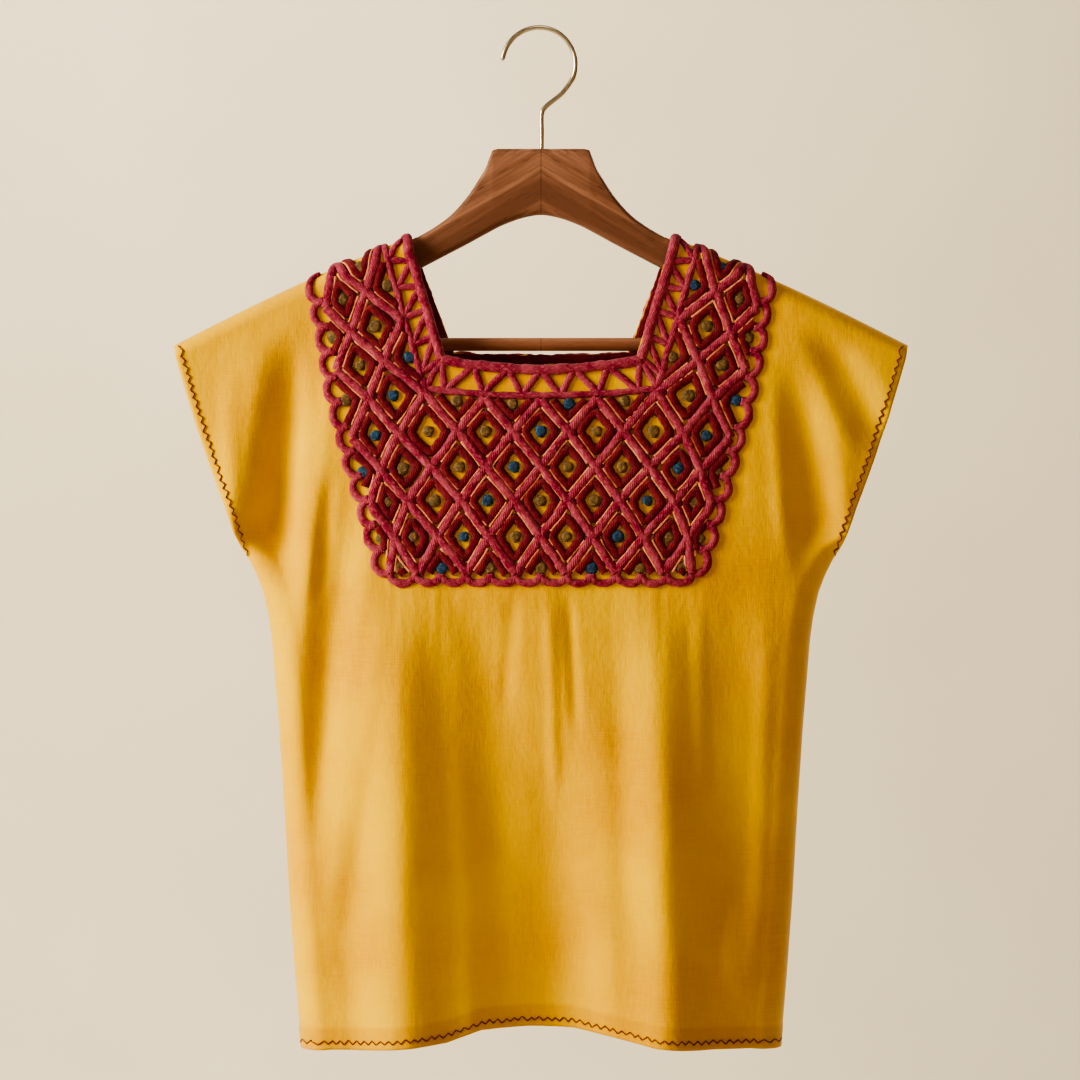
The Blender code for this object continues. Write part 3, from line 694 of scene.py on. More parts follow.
def fine_columns():
    """Columns of the cloth from its left edge to its right: (sign, kind, share)."""
    half = []
    for kind, count in FINE_COLUMNS:
        shares = [k / count for k in range(count)]
        if kind == "roll":
            shares = [1.0 - share for share in shares] + [0.0]
        half += [(kind, share) for share in shares]
    return [(-1.0, *column) for column in reversed(half[1:])] + [(1.0, *column) for column in half]


def fine_rows():
    """Rows of the cloth from the shoulder seam to the hem: (zone, share)."""
    return [(zone, k / count) for zone, count in FINE_ROWS for k in range(count)] + [("turn", 1.0)]


class BLOUSE_OT_cloth(bpy.types.Operator):
    """Cut the front and the back, each in one with its sleeves, and hang them"""

    bl_idname = "blouse.cloth"
    bl_label = "Cloth"

    def execute(self, context):
        finish = cotton()
        for label, side in SIDES:
            piece = self.hang(f"cloth_{label}", side)
            keep(piece, finish, "cloth", f"{label}_panel")
        return {"FINISHED"}

    def hang(self, name, side):
        """Move a flat grid's corners to their places on the hanging cloth."""
        columns = fine_columns()
        rows = fine_rows()
        nothing_selected()
        bpy.ops.mesh.primitive_grid_add(x_subdivisions=len(columns) - 1, y_subdivisions=len(rows) - 1,
                                        size=2.0)
        piece = bpy.context.object
        piece.name = name
        piece.data.name = name
        bm = bmesh.new()
        bm.from_mesh(piece.data)
        flat = bm.loops.layers.uv.get("UVMap") or bm.loops.layers.uv.new("UVMap")
        turned = bm.verts.layers.float.new("turned")
        placed = {}
        for vert in bm.verts:
            column = columns[round((vert.co.x + 1.0) / 2.0 * (len(columns) - 1))]
            row = rows[round((1.0 - vert.co.y) / 2.0 * (len(rows) - 1))]
            placed[vert] = (column, row, panel_point(column, row, side))
        for vert, (column, row, (x, z)) in placed.items():
            place, outward = cloth_frame(x, z, side)
            if row[0] == "turn":
                vert[turned] = 1.0
                place += outward * HEM_STEP
            vert.co = place * MM
        for face in bm.faces:
            for loop in face.loops:
                x, z = placed[loop.vert][2]
                loop[flat].uv = (x * MM, z * MM)
        hole = [face for face in bm.faces if self.in_neck([placed[v] for v in face.verts])]
        bmesh.ops.delete(bm, geom=hole, context="FACES")
        tested = Vector((0.0, side * TEST_PLACE[0], TEST_PLACE[1]))
        middle = min(bm.faces, key=lambda face: (face.calc_center_median() - tested).length)
        if middle.normal.y * side < 0.0:
            bmesh.ops.reverse_faces(bm, faces=bm.faces)
        bm.to_mesh(piece.data)
        bm.free()
        piece.data.uv_layers[0].name = "flat"
        wall = piece.modifiers.new("wall", "SOLIDIFY")
        wall.thickness = WALL * MM
        wall.offset = -1.0
        apply_all(piece)
        bpy.ops.object.shade_smooth()
        return piece

    def in_neck(self, corners):
        """Whether a face lies in the neck's opening."""
        columns_inside = all(column[1] == "neck" or column[1:] == ("outer", 0.0) for column, _, _ in corners)
        rows_inside = all(row[0] in ("roll", "neck") or row == ("chest", 0.0) for _, row, _ in corners)
        return columns_inside and rows_inside


class Skein:
    """Corners, faces and thread coordinates of the cords that make one piece."""

    def __init__(self):
        self.verts = []
        self.faces = []
        self.uvs = []

    def add(self, corners, coordinates):
        self.faces.append(corners)
        self.uvs.extend(coordinates)

    def piece(self, name):
        """Turn the cords into one object whose place is in its mesh."""
        mesh = bpy.data.meshes.new(name)
        mesh.from_pydata([vert * MM for vert in self.verts], [], self.faces)
        layer = mesh.uv_layers.new(name="thread")
        layer.data.foreach_set("uv", [value * MM for pair in self.uvs for value in pair])
        mesh.polygons.foreach_set("use_smooth", [True] * len(mesh.polygons))
        mesh.update()
        made = bpy.data.objects.new(name, mesh)
        bpy.context.scene.collection.objects.link(made)
        return made


def rounded(line, closed, cuts):
    """Cut the corners of a line of flat points, once for each share, and keep its two ends."""
    for share in cuts:
        pairs = list(zip(line, line[1:])) + ([(line[-1], line[0])] if closed else [])
        cut = []
        for (x0, z0), (x1, z1) in pairs:
            cut.append((mix(x0, x1, share), mix(z0, z1, share)))
            cut.append((mix(x1, x0, share), mix(z1, z0, share)))
        if not closed:
            cut[0], cut[-1] = line[0], line[-1]
        line = cut
    return line


def walk(line, step, least=1, to_end=True):
    """Points at even steps along a line of flat points."""
    lengths = [math.dist(p, q) for p, q in zip(line, line[1:])]
    count = max(least, round(sum(lengths) / step))
    points = []
    piece, passed = 0, 0.0
    for k in range(count + to_end):
        along = sum(lengths) * k / count
        while piece < len(lengths) - 1 and along > passed + lengths[piece]:
            passed += lengths[piece]
            piece += 1
        share = min(1.0, (along - passed) / max(lengths[piece], 1e-6))
        points.append(tuple(mix(p, q, share) for p, q in zip(line[piece], line[piece + 1])))
    return points


def lay_cord(skein, line, side, width, closed=False, lift=0.0, flatness=ROPE_FLATNESS, inside=False):
    """Sweep a cord's oval section along flat points, half sunk in the cloth."""
    points = walk(line + line[:1] if closed else line, CORD_STEP, 3, not closed)
    frames = [cloth_frame(x, z, side) for x, z in points]
    count = len(points)
    first = len(skein.verts)
    run = 0.0
    seed = len(skein.verts) * CORD_SEED
    runs = []

    def waver(varies, row):
        size, rate = varies
        return size * noise.noise(Vector((run * rate, seed, row)))

    for k, (place, outward) in enumerate(frames):
        after = frames[(k + 1) % count][0] if closed or k < count - 1 else place
        before = frames[k - 1][0] if closed or k else place
        along = (after - before).normalized()
        across = along.cross(outward).normalized()
        run += (place - frames[k - 1][0]).length if k else 0.0
        runs.append(run)
        if inside:
            place = place - outward * WALL
            outward = -outward
            across = -across
        half = width / 2.0 * (1.0 + waver(WIDTH_VARIES, 1.0))
        tall = width * flatness * (1.0 + waver(HEIGHT_VARIES, 5.0))
        centre = place + across * waver(STRAY, 9.0) + outward * (tall * CORD_SINK + lift)
        for j in range(CORD_SIDES):
            turn = 2.0 * math.pi * j / CORD_SIDES
            skein.verts.append(centre + across * half * math.cos(turn) + outward * tall * math.sin(turn))
    around = [width * UV_TURN * j / CORD_SIDES for j in range(CORD_SIDES + 1)]
    for k in range(count if closed else count - 1):
        after = (k + 1) % count
        run_end = runs[after] if after else run + (frames[0][0] - frames[-1][0]).length
        for j in range(CORD_SIDES):
            over = (j + 1) % CORD_SIDES
            corners = (first + k * CORD_SIDES + j, first + k * CORD_SIDES + over,
                       first + after * CORD_SIDES + over, first + after * CORD_SIDES + j)
            skein.add(corners[::-1], ((run_end, around[j]), (run_end, around[j + 1]),
                                      (runs[k], around[j + 1]), (runs[k], around[j])))
    if closed:
        return
    for end, flip in ((0, 1), (count - 1, -1)):
        ring = [first + end * CORD_SIDES + j for j in range(CORD_SIDES)][::flip]
        skein.add(ring, [(runs[end], value) for value in around[:-1]])


def shrunk(corners, centre, inset):
    """Corners moved towards the centre until the sides have moved by the inset."""
    reach = [math.dist(corner, centre) for corner in corners]
    broad, tall = max(reach), min(reach)
    middle = broad * tall / math.hypot(broad, tall)
    share = max(ROOM_LEAST, 1.0 - inset / middle)
    return [tuple(mix(c, p, share) for c, p in zip(centre, corner)) for corner in corners]


def open_run(a, b, side):
    """Corners of a cut diamond from one end of its open side to the other, or the whole one."""
    steps = ((a - 1, b), (a, b + 1), (a + 1, b), (a, b - 1))
    present = [on_yoke(*step, side) for step in steps]
    missing = [k for k, there in enumerate(present) if not there]
    if len(missing) > 1:
        return [], False
    if not missing:
        return [lattice_point(*step, side) for step in steps], True
    order = [(missing[0] + k) % 4 for k in (1, 2, 3)]
    return [lattice_point(*steps[k], side) for k in order], False


def diagonals(side):
    """Lines of the lattice from edge to edge, both ways."""
    last_a, last_b = lattice_size(side)
    runs = []
    for lean in (1, -1):
        for b in range(last_b + 1):
            for a in range(-last_a, last_a + 1):
                if (a + b) % 2 or not on_yoke(a, b, side) or on_yoke(a - lean, b - 1, side):
                    continue
                line = [(a, b)]
                while on_yoke(line[-1][0] + lean, line[-1][1] + 1, side):
                    line.append((line[-1][0] + lean, line[-1][1] + 1))
                if len(line) > 1:
                    runs.append((lean, [lattice_point(*step, side) for step in line]))
    return runs


def scallop_lines(side):
    """Round loops along the lattice's outer edge, from shoulder to shoulder."""
    last_a, last_b = lattice_size(side)
    down = [lattice_point(-last_a, b, side) for b in (*range(0, last_b, 2), last_b)]
    under = [lattice_point(a, last_b, side) for a in range(-last_a, last_a + 1, 2)]
    up = [(-x, z) for x, z in reversed(down)]
    roots, bulges = [], []
    for run, bulge in ((down, SCALLOP_BULGE_SIDE), (under, SCALLOP_BULGE_LOW), (up, SCALLOP_BULGE_SIDE)):
        reached = walk(run, SCALLOP_PITCH, to_end=run is up)
        roots += reached
        bulges += [bulge] * len(reached)
    lines = []
    for k, (start, end) in enumerate(zip(roots, roots[1:])):
        out = Vector((start[1] - end[1], end[0] - start[0])).normalized() * -1.0
        centre = (Vector(start) + Vector(end)) / 2.0
        half = (Vector(end) - Vector(start)) / 2.0
        line = []
        for j in range(SCALLOP_STEPS + 1):
            turn = math.pi * j / SCALLOP_STEPS
            rise = SCALLOP_START + bulges[k] * math.sin(turn) ** SCALLOP_ROUND
            point = centre - half * math.cos(turn) * SCALLOP_NARROW + out * rise
            line.append((point.x, min(point.y, seam_height(abs(point.x)) - SEAM_CLEAR)))
        lines.append(line)
    return lines


def band_lines(side):
    """Neck band's cords: edge, rail and zigzag, each with its width."""
    neck_x = NECK_SHOULDER_X + BAND_INSET
    corner_x = NECK_CORNER_X[side] + BAND_INSET
    inner_low = (corner_x, NECK_CORNER_Z[side] - BAND_INSET)

    def run(start, end, sag):
        def at(share):
            x, z = mix(start[0], end[0], share), mix(start[1], end[1], share)
            return x, z - sag * (1.0 - (2.0 * share - 1.0) ** 2)
        return at

    bands = []
    for sign in (-1.0, 1.0):
        inner = run((sign * neck_x, seam_height(neck_x)), (sign * corner_x, inner_low[1]), 0.0)
        outer = run((sign * RAIL_TOP_X, seam_height(RAIL_TOP_X)),
                    (sign * RAIL_CORNER[0], RAIL_CORNER[1]), 0.0)
        bands.append((inner, outer, 8, BAND_SIDE_PERIODS, True))
    inner = run((-corner_x, inner_low[1]), inner_low, NECK_SAG[side])
    outer = run((-RAIL_CORNER[0], RAIL_CORNER[1]), RAIL_CORNER, RAIL_SAG[side])
    bands.append((inner, outer, 16, BAND_LOW_PERIODS, False))
    lines = []
    for inner, outer, parts, periods, mitred in bands:
        for at, width in ((inner, settings().rope_width), (outer, RAIL_WIDTH)):
            lines.append(([at(k / parts) for k in range(parts + 1)], width))
        lines += [(leg, ZIGZAG_WIDTH) for leg in legs(inner, outer, periods, mitred)]
    return lines


def legs(inner, outer, periods, mitred):
    """Legs of a zigzag between two lines, with the corner's leg where it is asked for."""
    peaks = [inner(k / periods) for k in range(periods + 1)]
    feet = [outer((k + 0.5) / periods) for k in range(periods)]
    made = []
    for k, foot in enumerate(feet):
        made.append([peaks[k], foot])
        made.append([foot, peaks[k + 1]])
    if mitred:
        made.append([peaks[-1], outer(1.0)])
    return made


def twisted(name, colour, pale, pitch):
    """Stranded cotton cord: slanting plies, loose fibres and worn, paler patches here and there."""
    paint = Paint(name, 0.95)
    thread = paint.on_map("thread")
    slanted = paint.add("ShaderNodeMapping", Vector=thread, Rotation=(0.0, 0.0, math.radians(52.0)))
    ply = paint.add("ShaderNodeTexWave", Vector=slanted.outputs["Vector"], Scale=0.314 / (pitch * MM),
                    Distortion=1.6, Detail=2.0, Detail_Scale=2.5).outputs["Fac"]
    fibres = paint.speckle(thread, 620.0, 4.0, stretch=(0.45, 1.0, 1.0), twist=0.9)
    patches = paint.ramp(paint.speckle(paint.on_object(), 90.0, 2.0), 0.35, 0.7)
    wound = paint.mixed(paint.ramp(ply, 0.05, 0.75), darker(colour, 0.72), colour)
    worn = paint.mixed(paint.scaled(patches, 0.45), wound, pale)
    flecked = paint.mixed(paint.ramp(fibres, 0.50, 0.80), worn, pale)
    paint.put(paint.shader, Base_Color=flecked, Sheen_Weight=0.1, Specular_IOR_Level=0.12)
    paint.relief(paint.maths("ADD", paint.scaled(ply, 0.25), paint.scaled(fibres, 1.1)), 0.9)
    return paint.finish


class BLOUSE_OT_yoke_cords(bpy.types.Operator):
    """Lay the yoke's crossing cords and scallops, the dark cords in its diamonds and the fine light threads
    that paint highlight along the cords
    """

    bl_idname = "blouse.yoke_cords"
    bl_label = "Yoke cords"

    def execute(self, context):
        chosen = settings()
        random.seed(11)
        rose = twisted("rose_cord", chosen.rose, linear(208, 108, 126), 1.5)
        maroon = twisted("maroon_cord", chosen.maroon, linear(152, 60, 68), 1.3)
        # The thin light threads are painted highlight along the cords' lit edges.
        salmon_highlight = twisted("salmon_painted_highlight", chosen.salmon_highlight, linear(246, 176, 140), 0.8)
        for label, side in SIDES:
            keep(self.ropes(f"yoke_cords_{label}", side), rose, "cord", f"yoke_lattice_{label}")
            keep(self.rings(f"inner_cords_{label}", side), maroon, "cord")
            keep(self.threads(f"painted_highlight_threads_{label}", side), salmon_highlight, "cord")
            keep(self.loops(f"scallop_cords_{label}", side), rose, "cord", f"scallop_edge_{label}")
        return {"FINISHED"}

    def ropes(self, name, side):
        skein = Skein()
        for lean, line in diagonals(side):
            lay_cord(skein, line, side, settings().rope_width, lift=ROPE_LIFT if lean > 0 else 0.0)
        return skein.piece(name)

    def rings(self, name, side):
        skein = Skein()
        for a, b in lattice_centres(side):
            corners, whole = open_run(a, b, side)
            if not corners:
                continue
            x, z = lattice_point(a, b, side)
            inset = RING_INSET + random.uniform(*RING_VARIES)
            shift = (random.uniform(-RING_STRAY, RING_STRAY), random.uniform(-RING_STRAY, RING_STRAY))
            line = [(px + shift[0], pz + shift[1]) for px, pz in shrunk(corners, (x, z), inset)]
            lay_cord(skein, rounded(line, whole, RING_CUTS), side, settings().ring_width, closed=whole)
        return skein.piece(name)

    # Thin light threads along the sides of each diamond: painted highlight along the cords' edges.
    def threads(self, name, side):
        skein = Skein()
        for a, b in lattice_centres(side):
            corners, whole = open_run(a, b, side)
            if not corners:
                continue
            line = shrunk(corners, lattice_point(a, b, side), HIGHLIGHT_INSET + random.uniform(*HIGHLIGHT_VARIES))
            sides = list(zip(line, line[1:] + line[:1])) if whole else list(zip(line, line[1:]))
            for start, end in sides:
                if random.random() < HIGHLIGHT_SKIP:
                    continue
                low, high = random.uniform(*HIGHLIGHT_FROM), random.uniform(*HIGHLIGHT_TO)
                part = [tuple(mix(p, q, share) for p, q in zip(start, end)) for share in (low, 0.5, high)]
                lay_cord(skein, part, side, HIGHLIGHT_WIDTH, lift=HIGHLIGHT_LIFT)
        return skein.piece(name)

    def loops(self, name, side):
        skein = Skein()
        for k, line in enumerate(scallop_lines(side)):
            lay_cord(skein, line, side, SCALLOP_WIDTH, lift=SCALLOP_LIFT * (k % 2))
        return skein.piece(name)


class BLOUSE_OT_neck_band(bpy.types.Operator):
    """Lay the cords round the neck: its edge, a rail and the zigzag between them"""

    bl_idname = "blouse.neck_band"
    bl_label = "Neck band"

    def execute(self, context):
        rose = bpy.data.materials["rose_cord"]
        maroon = bpy.data.materials["maroon_cord"]
        for label, side in SIDES:
            skein = Skein()
            for k, (line, width) in enumerate(band_lines(side)):
                lift = BAND_LIFT * (k % 3) + (EDGE_LIFT if len(line) > 2 else 0.0)
                lay_cord(skein, line, side, width, lift=lift)
            keep(skein.piece(f"neck_cords_{label}"), rose, "cord", f"neck_band_{label}")
            # The band's reverse inside the neck takes the dark maroon finish in place of rose: the cords are
            # there, but their dark maroon is painted shade.
            skein = Skein()
            for line, width in band_lines(side):
                lay_cord(skein, line, side, width * INSIDE_SHARE, flatness=INSIDE_FLATNESS, inside=True)
            keep(skein.piece(f"neck_inside_{label}"), maroon, "cord")
        return {"FINISHED"}


class BLOUSE_OT_knots(bpy.types.Operator):
    """Sew a knot into the middle of each diamond, every third one of a row blue"""

    bl_idname = "blouse.knots"
    bl_label = "Knots"

    def execute(self, context):
        chosen = settings()
        brown = wound_thread("brown_knot", chosen.knot_brown, linear(168, 134, 84))
        blue = wound_thread("blue_knot", chosen.knot_blue, linear(58, 128, 170))
        random.seed(5)
        for label, side in SIDES:
            chosen_cells = {"blue": [], "brown": []}
            for a, b in lattice_centres(side):
                if open_run(a, b, side)[0]:
                    shade = "blue" if (a + b) % BLUE_EVERY == BLUE_AT else "brown"
                    chosen_cells[shade].append((a, b))
            for shade, finish in (("brown", brown), ("blue", blue)):
                piece = self.sew(f"{shade}_knots_{label}", chosen_cells[shade], side)
                keep(piece, finish, "cord")
        return {"FINISHED"}

    def sew(self, name, cells, side):
        """One lumpy knot copied to each place, with its own lumps."""
        nothing_selected()
        bpy.ops.mesh.primitive_uv_sphere_add(segments=16, ring_count=9, radius=1.0)
        knot = bpy.context.object
        verts, faces = [], []
        for a, b in cells:
            x, z = self.middle(a, b, side)
            place, outward = cloth_frame(x, z, side)
            across = outward.orthogonal().normalized()
            up = outward.cross(across)
            size = KNOT_WIDTH / 2.0 * random.uniform(*KNOT_SIZES)
            spin = random.uniform(0.0, 6.28)
            start = len(verts)
            for vert in knot.data.vertices:
                turn = math.atan2(vert.co.y, vert.co.x) + spin
                coil = 1.0 + KNOT_COILS[0] * math.sin(KNOT_COILS[1] * turn + KNOT_COILS[2] * vert.co.z)
                lump = 1.0 + KNOT_LUMPS[0] * noise.noise(vert.co * KNOT_LUMPS[1] + Vector((a, b, side)))
                flat = Vector((vert.co.x, vert.co.y, 0.0)) * size * lump * coil
                dip = KNOT_DIP[0] * math.exp(-(vert.co.x ** 2 + vert.co.y ** 2) * KNOT_DIP[1])
                high = (vert.co.z - (dip if vert.co.z > 0.0 else 0.0)) * KNOT_HEIGHT * lump
                verts.append(place + across * flat.x + up * flat.y + outward * (high + KNOT_LIFT))
            faces += [[start + v for v in polygon.vertices] for polygon in knot.data.polygons]
        mesh = bpy.data.meshes.new(name)
        mesh.from_pydata([vert * MM for vert in verts], [], faces)
        mesh.polygons.foreach_set("use_smooth", [True] * len(mesh.polygons))
        mesh.update()
        knot.data = mesh
        knot.name = name
        bm = bmesh.new()
        bm.from_mesh(mesh)
        bmesh.ops.recalc_face_normals(bm, faces=bm.faces)
        bm.to_mesh(mesh)
        bm.free()
        return knot

    def middle(self, a, b, side):
        """Middle of a diamond, a little inwards where its outer half is cut off."""
        corners, whole = open_run(a, b, side)
        centre = lattice_point(a, b, side)
        if whole:
            return centre
        shift = KNOT_SHIFT_SEAM if b == 0 else KNOT_SHIFT
        return tuple(mix(c, p, shift) for c, p in zip(centre, corners[1]))


def wound_thread(name, colour, pale):
    """Thread wound into a knot: fine turns and a few pale fibres."""
    paint = Paint(name, 0.75)
    place = paint.on_object()
    turns = paint.speckle(place, 700.0, 3.0)
    tufts = paint.ramp(paint.speckle(place, 260.0, 2.0), 0.4, 0.7)
    wound = paint.mixed(tufts, darker(colour, 0.45), colour)
    paint.put(paint.shader, Base_Color=paint.mixed(paint.ramp(turns, 0.52, 0.8), wound, pale),
              Sheen_Weight=0.2)
    paint.relief(turns, 0.6, 0.9)
    return paint.finish


class BLOUSE_OT_stitches(bpy.types.Operator):
    """Sew the zigzag lines along the hem and both cuffs, stitch by stitch"""

    bl_idname = "blouse.stitches"
    bl_label = "Stitches"

    def execute(self, context):
        finish = wound_thread("stitch_thread", settings().stitch, linear(160, 66, 36))
        for label, side in SIDES:
            skein = Skein()
            self.sew(skein, self.hem_line(), side)
            for sign in (-1.0, 1.0):
                self.sew(skein, self.cuff_line(sign), side)
            keep(skein.piece(f"stitches_{label}"), finish, "cord")
        return {"FINISHED"}

    def hem_line(self):
        """Flat points and their upward way, along the hem."""
        reach = OUTLINE[-1][1] - STITCH_END
        count = round(2.0 * reach / STITCH_LENGTH)
        line = []
        for k in range(count + 1):
            x = mix(-reach, reach, k / count)
            line.append(((x, between(HEM, x) + STITCH_INSET), (0.0, 1.0)))
        return line

    def cuff_line(self, sign):
        """Flat points and their inward way, along a cuff from the shoulder to the underarm."""
        seam = seam_height(SHOULDER_TIP_X)
        count = round((seam - UNDERARM_Z) / STITCH_LENGTH)
        line = []
        for k in range(1, count):
            drop = k / count
            edge = mix(SHOULDER_TIP_X, UNDERARM_X, drop) + CUFF_BOW * math.sin(math.pi * drop)
            line.append(((sign * (edge - STITCH_INSET), mix(seam, UNDERARM_Z, drop)), (-sign, 0.2)))
        return line

    def sew(self, skein, line, side):
        """Short slanting stitches from one side of the line to the other and back."""
        points = []
        for k, ((x, z), way) in enumerate(line):
            swing = STITCH_SWING * (1 if k % 2 else -1) + random.uniform(-STITCH_STRAY, STITCH_STRAY)
            points.append((x + way[0] * swing, z + way[1] * swing))
        for start, end in zip(points, points[1:]):
            lay_cord(skein, [start, end], side, STITCH_WIDTH, flatness=STITCH_FLATNESS,
                     lift=STITCH_LIFT + HEM_STEP)


class BLOUSE_OT_hanger(bpy.types.Operator):
    """Turn the walnut hanger with its bar and bend its steel hook"""

    bl_idname = "blouse.hanger"
    bl_label = "Hanger"

    def execute(self, context):
        keep(self.arms(), walnut("walnut_arms", ARM_GRAIN_SLANT, 1.0), "wood", "hanger_body")
        # The bar's walnut is made 1.7 times lighter than the arms': painted light that cancels the shade the
        # hanger's body casts on the bar.
        keep(self.bar(), walnut("walnut_bar_painted_light", 0.0, 1.7), "wood", "hanger_bar")
        keep(self.hook(), brushed_steel(), "steel", "hanger_hook")
        return {"FINISHED"}

    def arm_top(self, x):
        """Upper outline: the neck's curve, then just under the cloth."""
        if x < HANGER_TOP[-1][0]:
            return flowing(HANGER_TOP, x)
        tip = max(0.0, (x - TIP_START) / (TIP_END - TIP_START))
        return seam_height(x) - WALL - ARM_CLEAR - TIP_DROP * tip * tip

    def arm_low(self, x):
        """Lower outline: an arch under the body, then a straight run to the foot."""
        arch = HANGER_LOW[:ARCH_ROWS]
        return flowing(arch, x) if x < arch[-1][0] else between(HANGER_LOW, x)

    def arms(self):
        """Body with both arms, a loft of rounded sections from tip to tip."""
        named = {x for x, _ in HANGER_TOP} | {x for x, _ in HANGER_LOW}
        reach = sorted(named | {TIP_END * k / ARM_STATIONS for k in range(ARM_STATIONS + 1)})
        half = [x for x, after in zip(reach, reach[1:] + [2.0 * TIP_END]) if after - x > 0.3]
        stations = [-x for x in reversed(half[1:])] + half
        nothing_selected()
        bpy.ops.mesh.primitive_circle_add(vertices=4 * ARM_ROUND_STEPS, radius=1.0)
        piece = bpy.context.object
        piece.name = piece.data.name = "hanger_arms"
        bm = bmesh.new()
        sections = []
        for x in stations:
            top, low = self.arm_top(abs(x)), self.arm_low(abs(x))
            close = smooth((TIP_END - abs(x)) / ARM_TIP[0])
            thick = ARM_HALF_THICK * mix(ARM_TIP[1], 1.0, close ** 0.5)
            radius = min(ARM_EDGE_ROUND, (top - low) * 0.45, thick * 0.94)
            ring = []
            for quarter in range(4):
                side_y = 1.0 if quarter in (0, 3) else -1.0
                side_z = 1.0 if quarter < 2 else -1.0
                middle_y = side_y * (thick - radius)
                middle_z = (top - radius) if side_z > 0 else (low + radius)
                for k in range(ARM_ROUND_STEPS):
                    turn = math.pi / 2 * (quarter + k / (ARM_ROUND_STEPS - 1))
                    ring.append(bm.verts.new(Vector((x, middle_y + radius * math.cos(turn),
                                                     middle_z + radius * math.sin(turn))) * MM))
            sections.append(ring)
        for first, second in zip(sections, sections[1:]):
            for k, corner in enumerate(first):
                after = (k + 1) % len(first)
                bm.faces.new((corner, first[after], second[after], second[k]))
        bm.faces.new(sections[0])
        bm.faces.new(sections[-1])
        bmesh.ops.recalc_face_normals(bm, faces=bm.faces)
        bm.to_mesh(piece.data)
        bm.free()
        bpy.ops.object.shade_smooth_by_angle(angle=SHARP_EDGE)
        return piece

    def bar(self):
        """Round bar between the feet of the arms, its ends eased."""
        nothing_selected()
        bpy.ops.mesh.primitive_cylinder_add(
            vertices=40, radius=BAR_RADIUS * MM, depth=2.0 * (FOOT_X - BAR_GAP) * MM,
            location=(0.0, 0.0, BAR_Z * MM), rotation=(0.0, math.pi / 2, 0.0))
        piece = bpy.context.object
        piece.name = piece.data.name = "hanger_rod"
        bpy.ops.object.transform_apply(location=True, rotation=True, scale=True)
        ease = piece.modifiers.new("eased_ends", "BEVEL")
        ease.width = BAR_EASE * MM
        ease.segments = 3
        ease.limit_method = "ANGLE"
        apply_all(piece)
        bpy.ops.object.shade_smooth_by_angle(angle=SHARP_EDGE)
        return piece

    def hook(self):
        """Wire from the hanger through its double bend and round the open ring to a rounded end."""
        centre_z = WIRE_RADIUS - RING_RADIUS

        def on_ring(degrees):
            turn = math.radians(degrees)
            return RING_CENTRE_X + RING_RADIUS * math.cos(turn), centre_z + RING_RADIUS * math.sin(turn)

        bend = [*HOOK_BEND, on_ring(RING_START)]
        guide = bend + [on_ring(RING_START + RING_LEAD)]
        points = []
        for k in range(len(bend) - 1):
            points += [curved(guide, k, j / BEND_STEPS) for j in range(BEND_STEPS)]
        points += [on_ring(mix(RING_START, RING_END, k / HOOK_STEPS)) for k in range(HOOK_STEPS + 1)]
        line = bpy.data.curves.new("hook_wire", "CURVE")
        line.dimensions = "3D"
        line.bevel_depth = WIRE_RADIUS * MM
        line.bevel_resolution = 5
        line.use_fill_caps = True
        spline = line.splines.new("POLY")
        spline.points.add(len(points) - 1)
        for place, (x, z) in zip(spline.points, points):
            place.co = (x * MM, 0.0, z * MM, 1.0)
        for back, share in enumerate(WIRE_END):
            spline.points[len(points) - 1 - back].radius = share
        piece = bpy.data.objects.new("hook_wire", line)
        bpy.context.scene.collection.objects.link(piece)
        select_only(piece)
        bpy.ops.object.convert(target="MESH")
        piece = bpy.context.object
        bpy.ops.object.shade_smooth_by_angle(angle=WIRE_SHARP_EDGE)
        return piece


def curved(points, k, share):
    """Point on the smooth curve through some points, after the k-th of them."""
    before, start = points[max(k - 1, 0)], points[k]
    end, after = points[k + 1], points[min(k + 2, len(points) - 1)]
    place = []
    for p0, p1, p2, p3 in zip(before, start, end, after):
        place.append(0.5 * (2.0 * p1 + (p2 - p0) * share + (2.0 * p0 - 5.0 * p1 + 4.0 * p2 - p3) * share ** 2
                            + (3.0 * p1 - p0 - 3.0 * p2 + p3) * share ** 3))
    return tuple(place)


